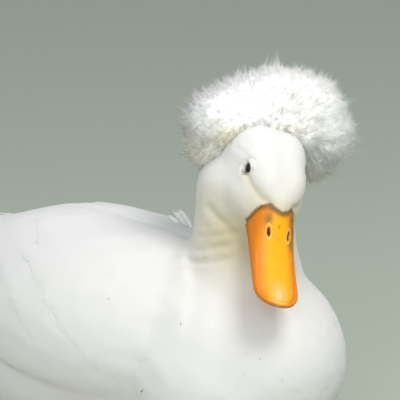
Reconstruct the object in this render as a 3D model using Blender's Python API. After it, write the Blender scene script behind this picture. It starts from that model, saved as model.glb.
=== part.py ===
"""A white crested duck lying at rest, life size, as one still model in separate solids.

Metres, +Z up, the trunk facing -Y. The origin is on the floor, where the flat of the belly rests. The head,
bill, eyes and crest are made in the head's own frame, which faces -Y from the point midway between the eyes,
and hang on an empty that holds the head's place and turn. The bill has a frame of its own in that one.
"""

import math

import bmesh
import bpy
from mathutils import Matrix, Vector

# The gap left between solids that touch
GAP = 0.0004

# Trunk: its main lengths, from which the blobs of flesh below are placed
TRUNK_HALF_WIDTH = 0.091
BACK_HEIGHT = 0.161
BREAST_FRONT = -0.160
RUMP_END = 0.230
MID_HEIGHT = BACK_HEIGHT / 2

# Neck: where it leaves the trunk, and its thickness
NECK_BASE = Vector((0.0, -0.084, 0.132))
NECK_TOP = Vector((0.004, -0.082, 0.196))
NECK_RADIUS = 0.0335
# The planes that part it from the trunk and from the head: a point, and the way to the head
NECK_FOOT_CUT = (Vector((0.0, -0.085, 0.150)), Vector((0.0, -0.35, 0.93)).normalized())
HEAD_CUT = (Vector((-0.0072, -0.0962, 0.1765)), Vector((-0.20, -0.60, 0.77)).normalized())

# Head: the point midway between the eyes, and how the head is turned, dipped and tilted
HEAD_AT = Vector((-0.007, -0.118, 0.206))
HEAD_TURN = math.radians(-36.2)
HEAD_DIP = math.radians(28.5)
HEAD_TILT = math.radians(20.2)
SKULL_HALF_WIDTH = 0.0238
CHEEK_HALF_WIDTH = 0.0295

EYE_RADIUS = 0.0066
EYE_AT = Vector((0.0176, 0.0045, 0.0024))

# Crest: puffs from the duck's right, over the back of the crown, to its left, each with its place across
# the head, behind the eyes and above them, and its radius. It leans to the left, and hangs on both sides.
CREST_PUFFS = (
    (-0.0334, 0.0524, -0.0231, 0.018),
    (-0.0390, 0.0524, 0.0032, 0.023),
    (-0.0165, 0.0600, 0.0070, 0.030),
    (0.0090, 0.0630, 0.0155, 0.036),
    (0.0290, 0.0600, 0.0250, 0.031),
    (0.0490, 0.0494, 0.0170, 0.0235),
    (0.0475, 0.0549, -0.0080, 0.0235),
)
# The crest's front rises from the crown here, leaning back
CREST_FOOT = Vector((0.0, 0.031, 0.021))
CREST_LEAN = math.radians(-35.0)

# Bill, in its own frame: the edges of the upper half lie in the plane z = 0
BILL_AT = Vector((0.0, -0.019, -0.0235))
BILL_DIP = math.radians(14.0)
BILL_LENGTH = 0.0715
BILL_ROUND_FROM = 0.80
LOWER_SHARE = 0.88
NAIL_RADII = Vector((0.0055, 0.0075, 0.0028))

# Wings: shells that lie on the trunk, and the ends of the flight feathers behind them
WING_THICKNESS = 0.0055
WING_EDGE = 0.0012
WING_MIDDLE = Vector((0.0, 0.052, 0.110))
WING_HALF_LENGTH = 0.138
WING_HALF_HEIGHT = 0.056
WING_TILT = math.radians(-5.0)
WING_CLEAR_OF_MIDDLE = 0.003

# Tail fan
TAIL_ROOT = Vector((0.0, 0.200, 0.1135))
TAIL_LENGTH = 0.094
TAIL_HALF_WIDTH = 0.046
TAIL_RISE = math.radians(9.0)

# Legs, folded under the flanks with the shanks and webs flat on the floor
HOCK = Vector((0.066, 0.112, 0.0105))
ANKLE = Vector((0.064, 0.052, 0.0078))
SHANK_RADIUS = 0.0062
TOE_LENGTH = 0.066
TOE_SPREAD = math.radians(23.0)
TOE_RADIUS = 0.0036
FOOT_TURN = math.radians(9.0)
WEB_THICKNESS = 0.0018

# Fineness of the solids
VOXEL = 0.004
SMOOTH_STEPS = 14
BODY_TRIANGLES = 2700
CREST_TRIANGLES = 700
SHANK_VOXEL = 0.0012
SHANK_TRIANGLES = 120
FOOT_VOXEL = 0.0008
FOOT_TRIANGLES = 180

WHITE = (0.88, 0.87, 0.83, 1.0)
BILL_ORANGE = (0.95, 0.47, 0.04, 1.0)
NAIL_PINK = (0.87, 0.62, 0.45, 1.0)
LEG_ORANGE = (0.92, 0.38, 0.05, 1.0)
EYE_DARK = (0.02, 0.015, 0.012, 1.0)


def clear_scene():
    for obj in list(bpy.data.objects):
        bpy.data.objects.remove(obj, do_unlink=True)


def material(name, colour, roughness):
    made = bpy.data.materials.new(name)
    made.use_nodes = True
    shader = made.node_tree.nodes["Principled BSDF"]
    shader.inputs["Base Color"].default_value = colour
    shader.inputs["Roughness"].default_value = roughness
    shader.inputs["Metallic"].default_value = 0.0
    return made


def link(name, mesh, parent=None):
    obj = bpy.data.objects.new(name, mesh)
    bpy.context.scene.collection.objects.link(obj)
    obj.parent = parent
    return obj


def mesh_of(bm, name):
    mesh = bpy.data.meshes.new(name)
    bmesh.ops.recalc_face_normals(bm, faces=bm.faces)
    bm.to_mesh(mesh)
    bm.free()
    return mesh


def applied(obj):
    """Replaces obj's mesh by the one that its modifiers give."""
    bpy.context.view_layer.update()
    graph = bpy.context.evaluated_depsgraph_get()
    mesh = bpy.data.meshes.new_from_object(obj.evaluated_get(graph))
    obj.modifiers.clear()
    obj.data = mesh
    return obj


def through(keys, t):
    """A smooth curve through (place, value) keys, read at t."""
    if t <= keys[0][0]:
        return keys[0][1]
    if t >= keys[-1][0]:
        return keys[-1][1]
    i = max(k for k in range(len(keys) - 1) if keys[k][0] <= t)
    (a, va), (b, vb) = keys[i], keys[i + 1]

    def slope(k):
        low, high = max(k - 1, 0), min(k + 1, len(keys) - 1)
        return (keys[high][1] - keys[low][1]) / (keys[high][0] - keys[low][0])

    u = (t - a) / (b - a)
    rise_a, rise_b = slope(i) * (b - a), slope(i + 1) * (b - a)
    return (
        (2 * u**3 - 3 * u**2 + 1) * va
        + (u**3 - 2 * u**2 + u) * rise_a
        + (3 * u**2 - 2 * u**3) * vb
        + (u**3 - u**2) * rise_b
    )


def add_blob(bm, centre, radii, place=None, turn=None):
    """An ellipsoid. turn is a rotation about its centre, and place the frame that it is made in."""
    matrix = Matrix.Translation(centre)
    if turn is not None:
        matrix = matrix @ turn
    matrix = matrix @ Matrix.Diagonal((*radii, 1.0))
    if place is not None:
        matrix = place @ matrix
    bmesh.ops.create_icosphere(bm, subdivisions=4, radius=1.0, matrix=matrix)


def both_sides(centre):
    """A centre and its mirror image in the plane x = 0."""
    return (Vector(centre), Vector((-centre[0], centre[1], centre[2])))


def loft(bm, rings):
    """Skins rings of equally many points, and closes both ends."""
    made = [[bm.verts.new(p) for p in ring] for ring in rings]
    count = len(made[0])
    for near, far in zip(made, made[1:]):
        for k in range(count):
            n = (k + 1) % count
            bm.faces.new((near[k], near[n], far[n], far[k]))
    bm.faces.new(list(reversed(made[0])))
    bm.faces.new(made[-1])


def soften(obj, voxel, steps, triangles):
    """Melts overlapping blobs into one smooth skin with about this many triangles."""
    remesh = obj.modifiers.new("remesh", "REMESH")
    remesh.mode = "VOXEL"
    remesh.voxel_size = voxel
    smooth = obj.modifiers.new("smooth", "SMOOTH")
    smooth.factor = 0.5
    smooth.iterations = steps
    applied(obj)
    thin = obj.modifiers.new("thin", "DECIMATE")
    thin.ratio = triangles / (2 * len(obj.data.polygons))
    thin.use_collapse_triangulate = True
    applied(obj)
    # Flecks of smaller closed surfaces are dropped
    bm = bmesh.new()
    bm.from_mesh(obj.data)
    keep_largest(bm)
    obj.data = mesh_of(bm, obj.name)
    return obj


def keep_largest(bm):
    """Leaves only the connected piece with the most faces."""
    left, best = set(bm.faces), set()
    while left:
        seed = left.pop()
        piece, front = {seed}, [seed]
        while front:
            face = front.pop()
            for edge in face.edges:
                for other in edge.link_faces:
                    if other not in piece:
                        piece.add(other)
                        front.append(other)
        left -= piece
        if len(piece) > len(best):
            best = piece
    bmesh.ops.delete(bm, geom=[f for f in bm.faces if f not in best], context="FACES")


def half_of(mesh, name, point, normal):
    """The largest piece of a closed mesh on the side of a plane that normal points to, closed by a flat."""
    bm = bmesh.new()
    bm.from_mesh(mesh)
    bmesh.ops.bisect_plane(
        bm,
        geom=list(bm.verts) + list(bm.edges) + list(bm.faces),
        dist=1e-6,
        plane_co=point,
        plane_no=normal,
        clear_inner=True,
    )
    rim = [e for e in bm.edges if e.is_boundary]
    bmesh.ops.edgeloop_fill(bm, edges=rim)
    bmesh.ops.triangulate(bm, faces=[f for f in bm.faces if len(f.verts) > 4])
    keep_largest(bm)
    return mesh_of(bm, name)


def grown(obj, margin):
    """A hidden copy of obj, larger all round by margin, to cut a neighbour with."""
    copy = link(obj.name + "_grown", obj.data.copy(), obj.parent)
    push = copy.modifiers.new("push", "DISPLACE")
    push.strength = margin
    push.mid_level = 0.0
    applied(copy)
    copy.hide_render = True
    copy.display_type = "WIRE"
    return copy


def combine(obj, other, operation):
    """Applies one Boolean with another object."""
    cut = obj.modifiers.new("cut", "BOOLEAN")
    cut.operation = operation
    cut.solver = "EXACT"
    cut.object = other
    return applied(obj)


def discard(*objects):
    for obj in objects:
        bpy.data.objects.remove(obj, do_unlink=True)


def finish(obj, mat):
    obj.data.materials.clear()
    obj.data.materials.append(mat)
    obj.data.shade_smooth()
    obj.data.set_sharp_from_angle(angle=math.radians(50.0))
    return obj


def head_matrix():
    turn = Matrix.Rotation(HEAD_TURN, 4, "Z") @ Matrix.Rotation(HEAD_DIP, 4, "X")
    return Matrix.Translation(HEAD_AT) @ turn @ Matrix.Rotation(HEAD_TILT, 4, "Y")


def add_trunk_blobs(bm):
    """The trunk from breast to tail. The bottom runs below the floor, where the flat of the belly is cut."""
    half, mid = TRUNK_HALF_WIDTH, MID_HEIGHT
    breast = BREAST_FRONT + 0.082
    rump = RUMP_END - 0.078
    # The barrel, and the higher, narrower back on it
    add_blob(bm, (0, 0.026, mid - 0.004), (half, 0.148, mid + 0.001))
    add_blob(bm, (0, 0.056, mid + 0.006), (half * 0.82, 0.130, mid - 0.006))
    # The full breast, its slope up to the neck, and its heavy lower sides
    add_blob(bm, (0, breast, 0.072), (0.077, 0.082, 0.073))
    add_blob(bm, (0, breast + 0.012, 0.092), (0.064, 0.072, 0.060))
    for centre in both_sides((0.024, breast + 0.004, 0.060)):
        add_blob(bm, centre, (0.058, 0.072, 0.064))
    # The rump, the feathers over it, and those around the root of the tail
    add_blob(bm, (0, rump - 0.044, 0.086), (0.070, 0.090, 0.062))
    add_blob(bm, (0, rump - 0.010, 0.098), (0.060, 0.068, 0.046))
    add_blob(bm, (0, rump + 0.022, 0.104), (0.046, 0.052, 0.029))
    add_blob(bm, (0, RUMP_END - 0.030, 0.110), (0.034, 0.044, 0.018))
    # The belly between the breast and the vent, with the flanks beside it
    add_blob(bm, (0, -0.030, 0.046), (0.072, 0.090, 0.050))
    add_blob(bm, (0, rump - 0.020, 0.068), (0.054, 0.074, 0.045))
    for centre in both_sides((0.030, 0.046, 0.052)):
        add_blob(bm, centre, (0.054, 0.116, 0.056))


def add_neck_blobs(bm):
    """The neck stands almost straight up from the front of the back, and swells into the shoulders."""
    steps = 7
    for k in range(steps):
        t = k / (steps - 1)
        swell = NECK_RADIUS + 0.010 * (1.0 - t) ** 2 + 0.0015 * t
        add_blob(bm, NECK_BASE.lerp(NECK_TOP, t), (swell, swell * 1.02, 0.030))
    # Its foot on the breast, and its foot on the back
    add_blob(bm, (0, -0.080, 0.108), (0.051, 0.053, 0.040))
    add_blob(bm, (0, -0.052, 0.116), (0.048, 0.060, 0.036))


def add_head_blobs(bm, place):
    """Crown, cheeks, nape and the feathered face up to the bill, in the head's frame."""
    crown = 0.0150
    across = SKULL_HALF_WIDTH - crown
    for centre in both_sides((across, 0.008, 0.0005)):
        add_blob(bm, centre, (crown, 0.0310, 0.0195), place)
    # The back of the crown is fuller, where the crest grows
    for centre in both_sides((across, 0.026, -0.0030)):
        add_blob(bm, centre, (crown * 1.45, 0.0270, 0.0275), place)
    add_blob(bm, (0, 0.029, -0.014), (0.0290, 0.0255, 0.0290), place)
    cheek = 0.0195
    for centre in both_sides((CHEEK_HALF_WIDTH - cheek, 0.004, -0.0165)):
        add_blob(bm, centre, (cheek, 0.0265, 0.0200), place)
    # The sides of the face run forward to the gape, and a narrow lobe of the forehead on to the bill
    for centre in both_sides((0.0075, -0.0120, -0.0165)):
        add_blob(bm, centre, (0.0140, 0.0172, 0.0145), place)
    add_blob(bm, (0, -0.015, -0.0065), (0.0105, 0.0195, 0.0150), place)


def make_body():
    """Trunk, neck and head flesh as one smooth skin, with its flat on the floor."""
    bm = bmesh.new()
    add_trunk_blobs(bm)
    add_neck_blobs(bm)
    add_head_blobs(bm, head_matrix())
    body = link("body", mesh_of(bm, "body"))
    soften(body, VOXEL, SMOOTH_STEPS, BODY_TRIANGLES)
    body.data = half_of(body.data, "body", (0, 0, 0), (0, 0, 1))
    return body


def part_body(body, white):
    """Parts the body into trunk, neck and head by two thin plane cuts."""
    at_trunk, up_neck = NECK_FOOT_CUT
    at_head, to_head = HEAD_CUT
    half_gap = GAP / 2
    trunk = link("trunk", half_of(body.data, "trunk", at_trunk - up_neck * half_gap, -up_neck))
    above = half_of(body.data, "above", at_trunk + up_neck * half_gap, up_neck)
    neck = link("neck", half_of(above, "neck", at_head - to_head * half_gap, -to_head))
    head = link("head", half_of(above, "head", at_head + to_head * half_gap, to_head))
    for obj in (trunk, neck, head):
        finish(obj, white)
    return trunk, neck, head


def make_eyes(head, head_frame, dark):
    for side, sign in (("left", 1), ("right", -1)):
        bm = bmesh.new()
        bmesh.ops.create_uvsphere(bm, u_segments=14, v_segments=8, radius=EYE_RADIUS)
        eye = link("eye_" + side, mesh_of(bm, "eye_" + side), head_frame)
        eye.location = (sign * EYE_AT.x, EYE_AT.y, EYE_AT.z)
        eye.rotation_euler = (0, math.radians(90.0) * sign, 0)
        bpy.context.view_layer.update()
        socket = grown(eye, GAP)
        socket.location = eye.location
        socket.rotation_euler = eye.rotation_euler
        combine(head, socket, "DIFFERENCE")
        discard(socket)
        finish(eye, dark)


def bill_half_width(t):
    """Half the bill's width seen from above, from the gape at t = 0 to the round end at t = 1."""
    keys = ((0.0, 0.0158), (0.25, 0.0164), (0.5, 0.0168), (0.75, 0.0173), (0.88, 0.0173), (1.0, 0.0173))
    width = through(keys, t)
    if t > BILL_ROUND_FROM:
        width *= (1.0 - ((t - BILL_ROUND_FROM) / (1.0 - BILL_ROUND_FROM)) ** 2.4) ** (1 / 2.4)
    return width


def bill_height(t):
    """The ridge's height above the edges."""
    keys = (
        (0.0, 0.0245), (0.15, 0.0205), (0.3, 0.0150), (0.5, 0.0098),
        (0.7, 0.0072), (0.9, 0.0056), (1.0, 0.0036),
    )
    return through(keys, t)


def bill_ring(t, share, z_low, z_high, arch):
    """One cross-section: arched on top, and nearly flat below."""
    width = max(bill_half_width(t) * share, 0.0012)
    points = []
    steps = 8
    for k in range(steps + 1):
        turn = math.pi * k / steps
        across = math.cos(turn)
        rise = z_low + (z_high - z_low) * math.sin(turn) ** arch
        points.append(Vector((width * across, -t * BILL_LENGTH, rise)))
    for k in range(1, 4):
        across = -1.0 + k / 2.0
        points.append(Vector((width * across * 0.97, -t * BILL_LENGTH, z_low - 0.0004)))
    return points


def make_bill(head, head_frame, orange, pink):
    bill_frame = link("bill_frame", None, head_frame)
    bill_frame.location = BILL_AT
    bill_frame.rotation_euler = (BILL_DIP, 0, 0)
    bpy.context.view_layer.update()
    places = [k / 11 for k in range(10)] + [0.87, 0.92, 0.96, 0.985, 0.997]

    bm = bmesh.new()
    loft(bm, [bill_ring(t, 1.0, 0.0006, bill_height(t), 0.62 - 0.10 * t) for t in places])
    upper = link("bill_upper", mesh_of(bm, "bill_upper"), bill_frame)

    bm = bmesh.new()
    rings = []
    for t in places:
        depth = through(((0.0, 0.0085), (0.4, 0.0055), (0.9, 0.0032), (1.0, 0.0022)), t)
        ring = bill_ring(t * 0.97, LOWER_SHARE, GAP, depth, 0.45)
        rings.append([Vector((p.x, p.y, -p.z)) for p in ring])
    loft(bm, rings)
    lower = link("bill_lower", mesh_of(bm, "bill_lower"), bill_frame)

    bm = bmesh.new()
    size = Matrix.Diagonal((*NAIL_RADII, 1.0))
    bmesh.ops.create_uvsphere(bm, u_segments=14, v_segments=8, radius=1.0, matrix=size)
    nail = link("bill_nail", mesh_of(bm, "bill_nail"), bill_frame)
    nail.location = (0, -(BILL_LENGTH - NAIL_RADII.y + 0.0004), 0.0036)
    nail.rotation_euler = (math.radians(10.0), 0, 0)

    bpy.context.view_layer.update()
    flesh = grown(head, GAP)
    for half in (upper, lower):
        combine(half, flesh, "DIFFERENCE")
    discard(flesh)
    pocket = grown(nail, GAP)
    pocket.location = nail.location
    pocket.rotation_euler = nail.rotation_euler
    for half in (upper, lower):
        combine(half, pocket, "DIFFERENCE")
    discard(pocket)
    for obj, mat in ((upper, orange), (lower, orange), (nail, pink)):
        keep_main_piece(obj)
        finish(obj, mat)


def keep_main_piece(obj):
    bm = bmesh.new()
    bm.from_mesh(obj.data)
    keep_largest(bm)
    obj.data = mesh_of(bm, obj.name)


def make_crest(head, neck, head_frame, white):
    """Overlapping puffs, with a face in front that clears the crown and the cheeks."""
    bm = bmesh.new()
    for across, back, up, radius in CREST_PUFFS:
        add_blob(bm, (across, back, up), (radius, radius, radius))
    crest = link("crest", mesh_of(bm, "crest"), head_frame)
    soften(crest, VOXEL, SMOOTH_STEPS, CREST_TRIANGLES * 4)
    bm = bmesh.new()
    depth, spread = 0.040, 0.090
    lean = Matrix.Rotation(CREST_LEAN, 4, "X")
    add_blob(bm, CREST_FOOT + lean @ Vector((0, -depth, 0)), (spread, depth, spread), turn=lean)
    front = link("crest_front", mesh_of(bm, "crest_front"), head_frame)
    combine(crest, front, "DIFFERENCE")
    discard(front)
    soften(crest, VOXEL, SMOOTH_STEPS * 2, CREST_TRIANGLES)
    for flesh in (head, neck):
        cutter = grown(flesh, GAP)
        combine(crest, cutter, "DIFFERENCE")
        discard(cutter)
    keep_main_piece(crest)
    finish(crest, white)


def wing_outline():
    """The folded wing seen from the side: round at the shoulder, and drawn to a point at the back."""
    points = []
    steps = 28
    for k in range(steps):
        turn = math.tau * k / steps
        along = -math.cos(turn)
        taper = 1.0 - 0.30 * along - 0.22 * along**3
        y = WING_HALF_LENGTH * along
        z = WING_HALF_HEIGHT * math.sin(turn) * taper
        points.append(
            Vector(
                (
                    0,
                    WING_MIDDLE.y + y * math.cos(WING_TILT) - z * math.sin(WING_TILT),
                    WING_MIDDLE.z + y * math.sin(-WING_TILT) * 0.5 + z * math.cos(WING_TILT),
                )
            )
        )
    return points


def wing_depth(p):
    """How far the wing stands off the trunk: most in the middle, least at the edges and near the spine."""
    along = (p.y - WING_MIDDLE.y) / WING_HALF_LENGTH
    up = min((p.z - WING_MIDDLE.z) / (WING_HALF_HEIGHT * 1.15), 0.0)
    middle = math.sqrt(max(1.0 - abs(math.hypot(along, up)) ** 3, 0.0))
    spine = min(max((abs(p.x) - WING_CLEAR_OF_MIDDLE) / 0.034, 0.10), 1.0)
    return WING_EDGE + (WING_THICKNESS - WING_EDGE) * middle * spine


def make_wings(trunk, white):
    """Each wing is a shell on the trunk, inside the wing's outline."""
    inner = grown(trunk, GAP)
    for side, sign in (("left", 1), ("right", -1)):
        wing = link("wing_" + side, trunk.data.copy())
        thin = wing.modifiers.new("thin", "DECIMATE")
        thin.ratio = 0.5
        applied(wing)
        bm = bmesh.new()
        bm.from_mesh(wing.data)
        bm.normal_update()
        moved = [(v, v.co + v.normal * wing_depth(v.co)) for v in bm.verts]
        for vert, place in moved:
            vert.co = place
        wing.data = mesh_of(bm, wing.name)
        bm = bmesh.new()
        near, far = sign * WING_CLEAR_OF_MIDDLE, sign * (TRUNK_HALF_WIDTH + 0.04)
        loft(bm, [[Vector((x, p.y, p.z)) for p in wing_outline()] for x in (near, far)])
        prism = link("prism", mesh_of(bm, "prism"))
        combine(wing, prism, "INTERSECT")
        combine(wing, inner, "DIFFERENCE")
        discard(prism)
        keep_main_piece(wing)
        finish(wing, white)
    discard(inner)


def blade(bm, start, end, bend, half_width, half_depth, bank):
    """A tapering stack of feather ends, bent a little. Its outer edge drops by the angle bank at the root."""
    steps, sides = 8, 8
    along = (end - start).normalized()
    level = along.cross(Vector((0, 0, 1))).normalized()
    rings = []
    for k in range(steps + 1):
        t = k / steps
        centre = start.lerp(end, t) + bend * math.sin(math.pi * t)
        side = Matrix.Rotation(bank * (1.0 - 0.7 * t), 3, along) @ level
        up = side.cross(along)
        fade = max(1.0 - t**2.6, 0.12)
        ring = []
        for m in range(sides):
            turn = math.tau * m / sides
            flat = side * half_width * fade * math.cos(turn)
            ring.append(centre + flat + up * half_depth * (0.35 + 0.65 * fade) * math.sin(turn))
        rings.append(ring)
    loft(bm, rings)


def make_wing_tips(trunk, wings, white):
    """The primaries' ends, which lie side by side over the rump."""
    cutters = [grown(obj, GAP) for obj in (trunk, *wings)]
    for side, sign in (("left", 1), ("right", -1)):
        bm = bmesh.new()
        start = Vector((sign * 0.043, 0.112, 0.1310))
        end = Vector((sign * 0.0125, 0.250, 0.1320))
        blade(bm, start, end, Vector((sign * 0.007, 0, 0.004)), 0.0170, 0.0050, sign * math.radians(38.0))
        tip = link("wing_tip_" + side, mesh_of(bm, "wing_tip_" + side))
        for cutter in cutters:
            combine(tip, cutter, "DIFFERENCE")
        keep_main_piece(tip)
        finish(tip, white)
    discard(*cutters)


def make_tail(trunk, white):
    """The fan of tail feathers: widest near its round end, thin at the edges."""
    bm = bmesh.new()
    rings = []
    steps, sides = 9, 14
    for k in range(steps + 1):
        t = k / steps
        width = through(((0.0, 0.55), (0.35, 0.78), (0.7, 1.0), (1.0, 1.0)), t) * TAIL_HALF_WIDTH
        if t > 0.55:
            width *= max(1.0 - ((t - 0.55) / 0.45) ** 2.2, 0.04) ** 0.5
        depth = 0.0125 * (1.0 - t) ** 1.2 + 0.0022
        y = TAIL_LENGTH * t
        ring = []
        for m in range(sides):
            turn = math.tau * m / sides
            x = width * math.cos(turn)
            droop = -0.10 * x * x / TAIL_HALF_WIDTH
            ring.append(
                TAIL_ROOT
                + Matrix.Rotation(TAIL_RISE, 3, "X") @ Vector((x, y, depth * math.sin(turn) + droop))
            )
        rings.append(ring)
    loft(bm, rings)
    tail = link("tail", mesh_of(bm, "tail"))
    cutter = grown(trunk, GAP)
    combine(tail, cutter, "DIFFERENCE")
    discard(cutter)
    keep_main_piece(tail)
    finish(tail, white)


def tube(bm, start, end, radius_a, radius_b, sides=10, steps=4):
    """A round bar, a little thicker at both ends."""
    along = (end - start).normalized()
    side = along.cross(Vector((0, 0, 1))).normalized()
    up = side.cross(along)
    rings = []
    for k in range(steps + 1):
        t = k / steps
        centre = start.lerp(end, t)
        radius = (radius_a + (radius_b - radius_a) * t) * (1.0 + 0.18 * abs(2 * t - 1) ** 3)
        turns = [math.tau * m / sides for m in range(sides)]
        rings.append([centre + side * radius * math.cos(a) + up * radius * math.sin(a) for a in turns])
    loft(bm, rings)


def toe_end(heading, length):
    return Vector((math.sin(heading), -math.cos(heading), 0)) * length


def make_foot(name, orange, sign, cutters):
    """Three toes with webs between them, and the small hind toe, all flat on the floor."""
    start = Vector((sign * ANKLE.x, ANKLE.y, 0))
    toes = []
    for k, share in ((-1, 0.86), (0, 1.0), (1, 0.92)):
        heading = sign * (FOOT_TURN + k * TOE_SPREAD)
        toes.append(start + toe_end(heading, TOE_LENGTH * share))
    bm = bmesh.new()
    outline = [start + Vector((-0.006, 0, 0)), toes[0]]
    for a, b in zip(toes, toes[1:]):
        middle = (a + b) / 2
        outline += [middle + (start - middle) * 0.14, b]
    outline.append(start + Vector((0.006, 0, 0)))
    loft(bm, [[Vector((p.x, p.y, z)) for p in outline] for z in (-FOOT_VOXEL * 4, WEB_THICKNESS)])
    hind = start + Vector((-sign * 0.010, 0.010, 0))
    for end, radius in [(toe, TOE_RADIUS) for toe in toes] + [(hind, TOE_RADIUS * 0.7)]:
        lift = Vector((0, 0, radius * 0.75))
        past = (end - start).normalized() * 0.003
        tube(bm, start + lift, end + past + lift, radius * 1.15, radius * 0.75)
    foot = link(name, mesh_of(bm, name))
    soften(foot, FOOT_VOXEL, 3, FOOT_TRIANGLES)
    foot.data = half_of(foot.data, name, (0, 0, 0), (0, 0, 1))
    for cutter in cutters:
        combine(foot, cutter, "DIFFERENCE")
    keep_main_piece(foot)
    finish(foot, orange)


def make_legs(trunk, orange):
    """The shanks lie on the floor from the hocks to the feet, half hidden by the flanks."""
    trunk_cutter = grown(trunk, GAP)
    for side, sign in (("left", 1), ("right", -1)):
        bm = bmesh.new()
        hock = Vector((sign * HOCK.x, HOCK.y, SHANK_RADIUS * 1.05))
        ankle = Vector((sign * ANKLE.x, ANKLE.y + 0.004, SHANK_RADIUS * 0.90))
        tube(bm, hock, ankle, SHANK_RADIUS, SHANK_RADIUS * 0.9)
        add_blob(bm, hock, Vector((1.25, 1.6, 1.25)) * SHANK_RADIUS)
        add_blob(bm, ankle, Vector((1.15, 1.1, 1.1)) * SHANK_RADIUS)
        shank = link("shank_" + side, mesh_of(bm, "shank_" + side))
        soften(shank, SHANK_VOXEL, 6, SHANK_TRIANGLES)
        shank.data = half_of(shank.data, shank.name, (0, 0, 0), (0, 0, 1))
        combine(shank, trunk_cutter, "DIFFERENCE")
        keep_main_piece(shank)
        finish(shank, orange)
        shank_cutter = grown(shank, GAP)
        make_foot("foot_" + side, orange, sign, (trunk_cutter, shank_cutter))
        discard(shank_cutter)
    discard(trunk_cutter)


def main():
    clear_scene()
    white = material("plumage", WHITE, 0.9)
    orange = material("bill", BILL_ORANGE, 0.35)
    pink = material("nail", NAIL_PINK, 0.35)
    leg_orange = material("leg_skin", LEG_ORANGE, 0.5)
    dark = material("eye", EYE_DARK, 0.08)

    head_frame = link("head_frame", None)
    head_frame.matrix_world = head_matrix()
    bpy.context.view_layer.update()

    body = make_body()
    trunk, neck, head = part_body(body, white)
    discard(body)
    make_crest(head, neck, head_frame, white)
    make_eyes(head, head_frame, dark)
    make_bill(head, head_frame, orange, pink)
    make_wings(trunk, white)
    wings = [bpy.data.objects["wing_" + side] for side in ("left", "right")]
    make_tail(trunk, white)
    make_wing_tips(trunk, wings, white)
    make_legs(trunk, leg_orange)


main()
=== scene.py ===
"""Looks of a white crested duck at rest: skin, plumage, crest, bill, eyes, legs, floor and studio light."""

import functools
import math

import bmesh
import bpy
import numpy as np
from mathutils import Matrix, Vector, noise
from mathutils.bvhtree import BVHTree


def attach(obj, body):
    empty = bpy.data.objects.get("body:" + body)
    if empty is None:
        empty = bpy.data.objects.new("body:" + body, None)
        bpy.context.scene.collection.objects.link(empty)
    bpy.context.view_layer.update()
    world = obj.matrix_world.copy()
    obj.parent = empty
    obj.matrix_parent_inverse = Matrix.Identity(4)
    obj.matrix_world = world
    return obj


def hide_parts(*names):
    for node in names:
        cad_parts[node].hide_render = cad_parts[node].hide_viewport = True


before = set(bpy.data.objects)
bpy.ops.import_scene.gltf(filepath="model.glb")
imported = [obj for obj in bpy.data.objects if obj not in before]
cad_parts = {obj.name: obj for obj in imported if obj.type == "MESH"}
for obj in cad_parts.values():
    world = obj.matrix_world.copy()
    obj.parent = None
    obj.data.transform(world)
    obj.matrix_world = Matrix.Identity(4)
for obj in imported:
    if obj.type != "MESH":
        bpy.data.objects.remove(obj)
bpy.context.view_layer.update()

# The head's frame, which faces -Y from the point midway between the eyes, and the bill's frame in it
HEAD_AT = Vector((-0.007, -0.118, 0.206))
HEAD_TURN = math.radians(-36.2)
HEAD_DIP = math.radians(28.5)
HEAD_TILT = math.radians(20.2)
HEAD = (
    Matrix.Translation(HEAD_AT)
    @ Matrix.Rotation(HEAD_TURN, 4, "Z")
    @ Matrix.Rotation(HEAD_DIP, 4, "X")
    @ Matrix.Rotation(HEAD_TILT, 4, "Y")
)
HEAD_BOTTOM = -0.040
HEAD_SHAPE = np.array((1.0, 0.8, 1.0))
HEAD_REACH = 0.062
BILL_AT = Vector((0.0, -0.019, -0.0235))
BILL_DIP = math.radians(14.0)
BILL = HEAD @ Matrix.Translation(BILL_AT) @ Matrix.Rotation(BILL_DIP, 4, "X")
BILL_BASE = Vector((0.0, 0.0, 0.008))
BILL_BASE_REACH = 0.032
BILL_LENGTH = 0.0715
BILL_ROUND_FROM = 0.80
LOWER_SHARE = 0.88

EYE_RADIUS = 0.0066
EYE_AT = Vector((0.0168, 0.0042, 0.0038))
EYE_AXIS = (1.0, -0.10, -0.14)
LID_RADIUS = 0.0045
LID_THICKNESS = 0.0004
LID_EDGE = 0.00045
LID_MARGIN = 1.12
OPENING_DEPTH = 0.45
FINE_ROUND_EYES = (0.013, 0.0088)
FINE_ABOVE = 0.166

# Folds, each with its line, depth and half width. Those of the face are in the head's frame, on its left:
# over the eye, from the eye to the bill, and under the cheek. Those of the neck are where the head's turn
# creases its right side.
LORE = (
    (0.0232, -0.0020, 0.0010), (0.0205, -0.0100, -0.0010),
    (0.0160, -0.0180, -0.0025), (0.0098, -0.0235, -0.0020),
)
FACE_CREASES = (
    (((0.0290, 0.0230, 0.0050), (0.0255, 0.0135, 0.0085), (0.0235, 0.0060, 0.0098)), 0.0007, 0.0022),
    (LORE, 0.0009, 0.0026),
    (((0.0285, 0.0080, -0.0400), (0.0230, -0.0060, -0.0400), (0.0100, -0.0190, -0.0400)), 0.0013, 0.0034),
)
NECK_CREASES = (
    (((-0.030, -0.058, 0.163), (-0.036, -0.080, 0.166), (-0.029, -0.104, 0.172)), 0.0010, 0.0022),
    (((-0.032, -0.058, 0.153), (-0.037, -0.080, 0.1565), (-0.031, -0.104, 0.1640)), 0.0012, 0.0022),
    (((-0.034, -0.062, 0.1440), (-0.038, -0.086, 0.1485), (-0.031, -0.110, 0.1550)), 0.0009, 0.0022),
)
# Height of a fold's lips as a share of its depth
FACE_LIP = 0.2
NECK_LIP = 0.5

# Skin
FLESH = ("trunk", "neck", "head", "wing_left", "wing_right")
TAIL_FLESH_END = 0.243
SWELL = 0.0006
SKIN_VOXEL = 0.0022
SKIN_SMOOTH = 6

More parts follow.
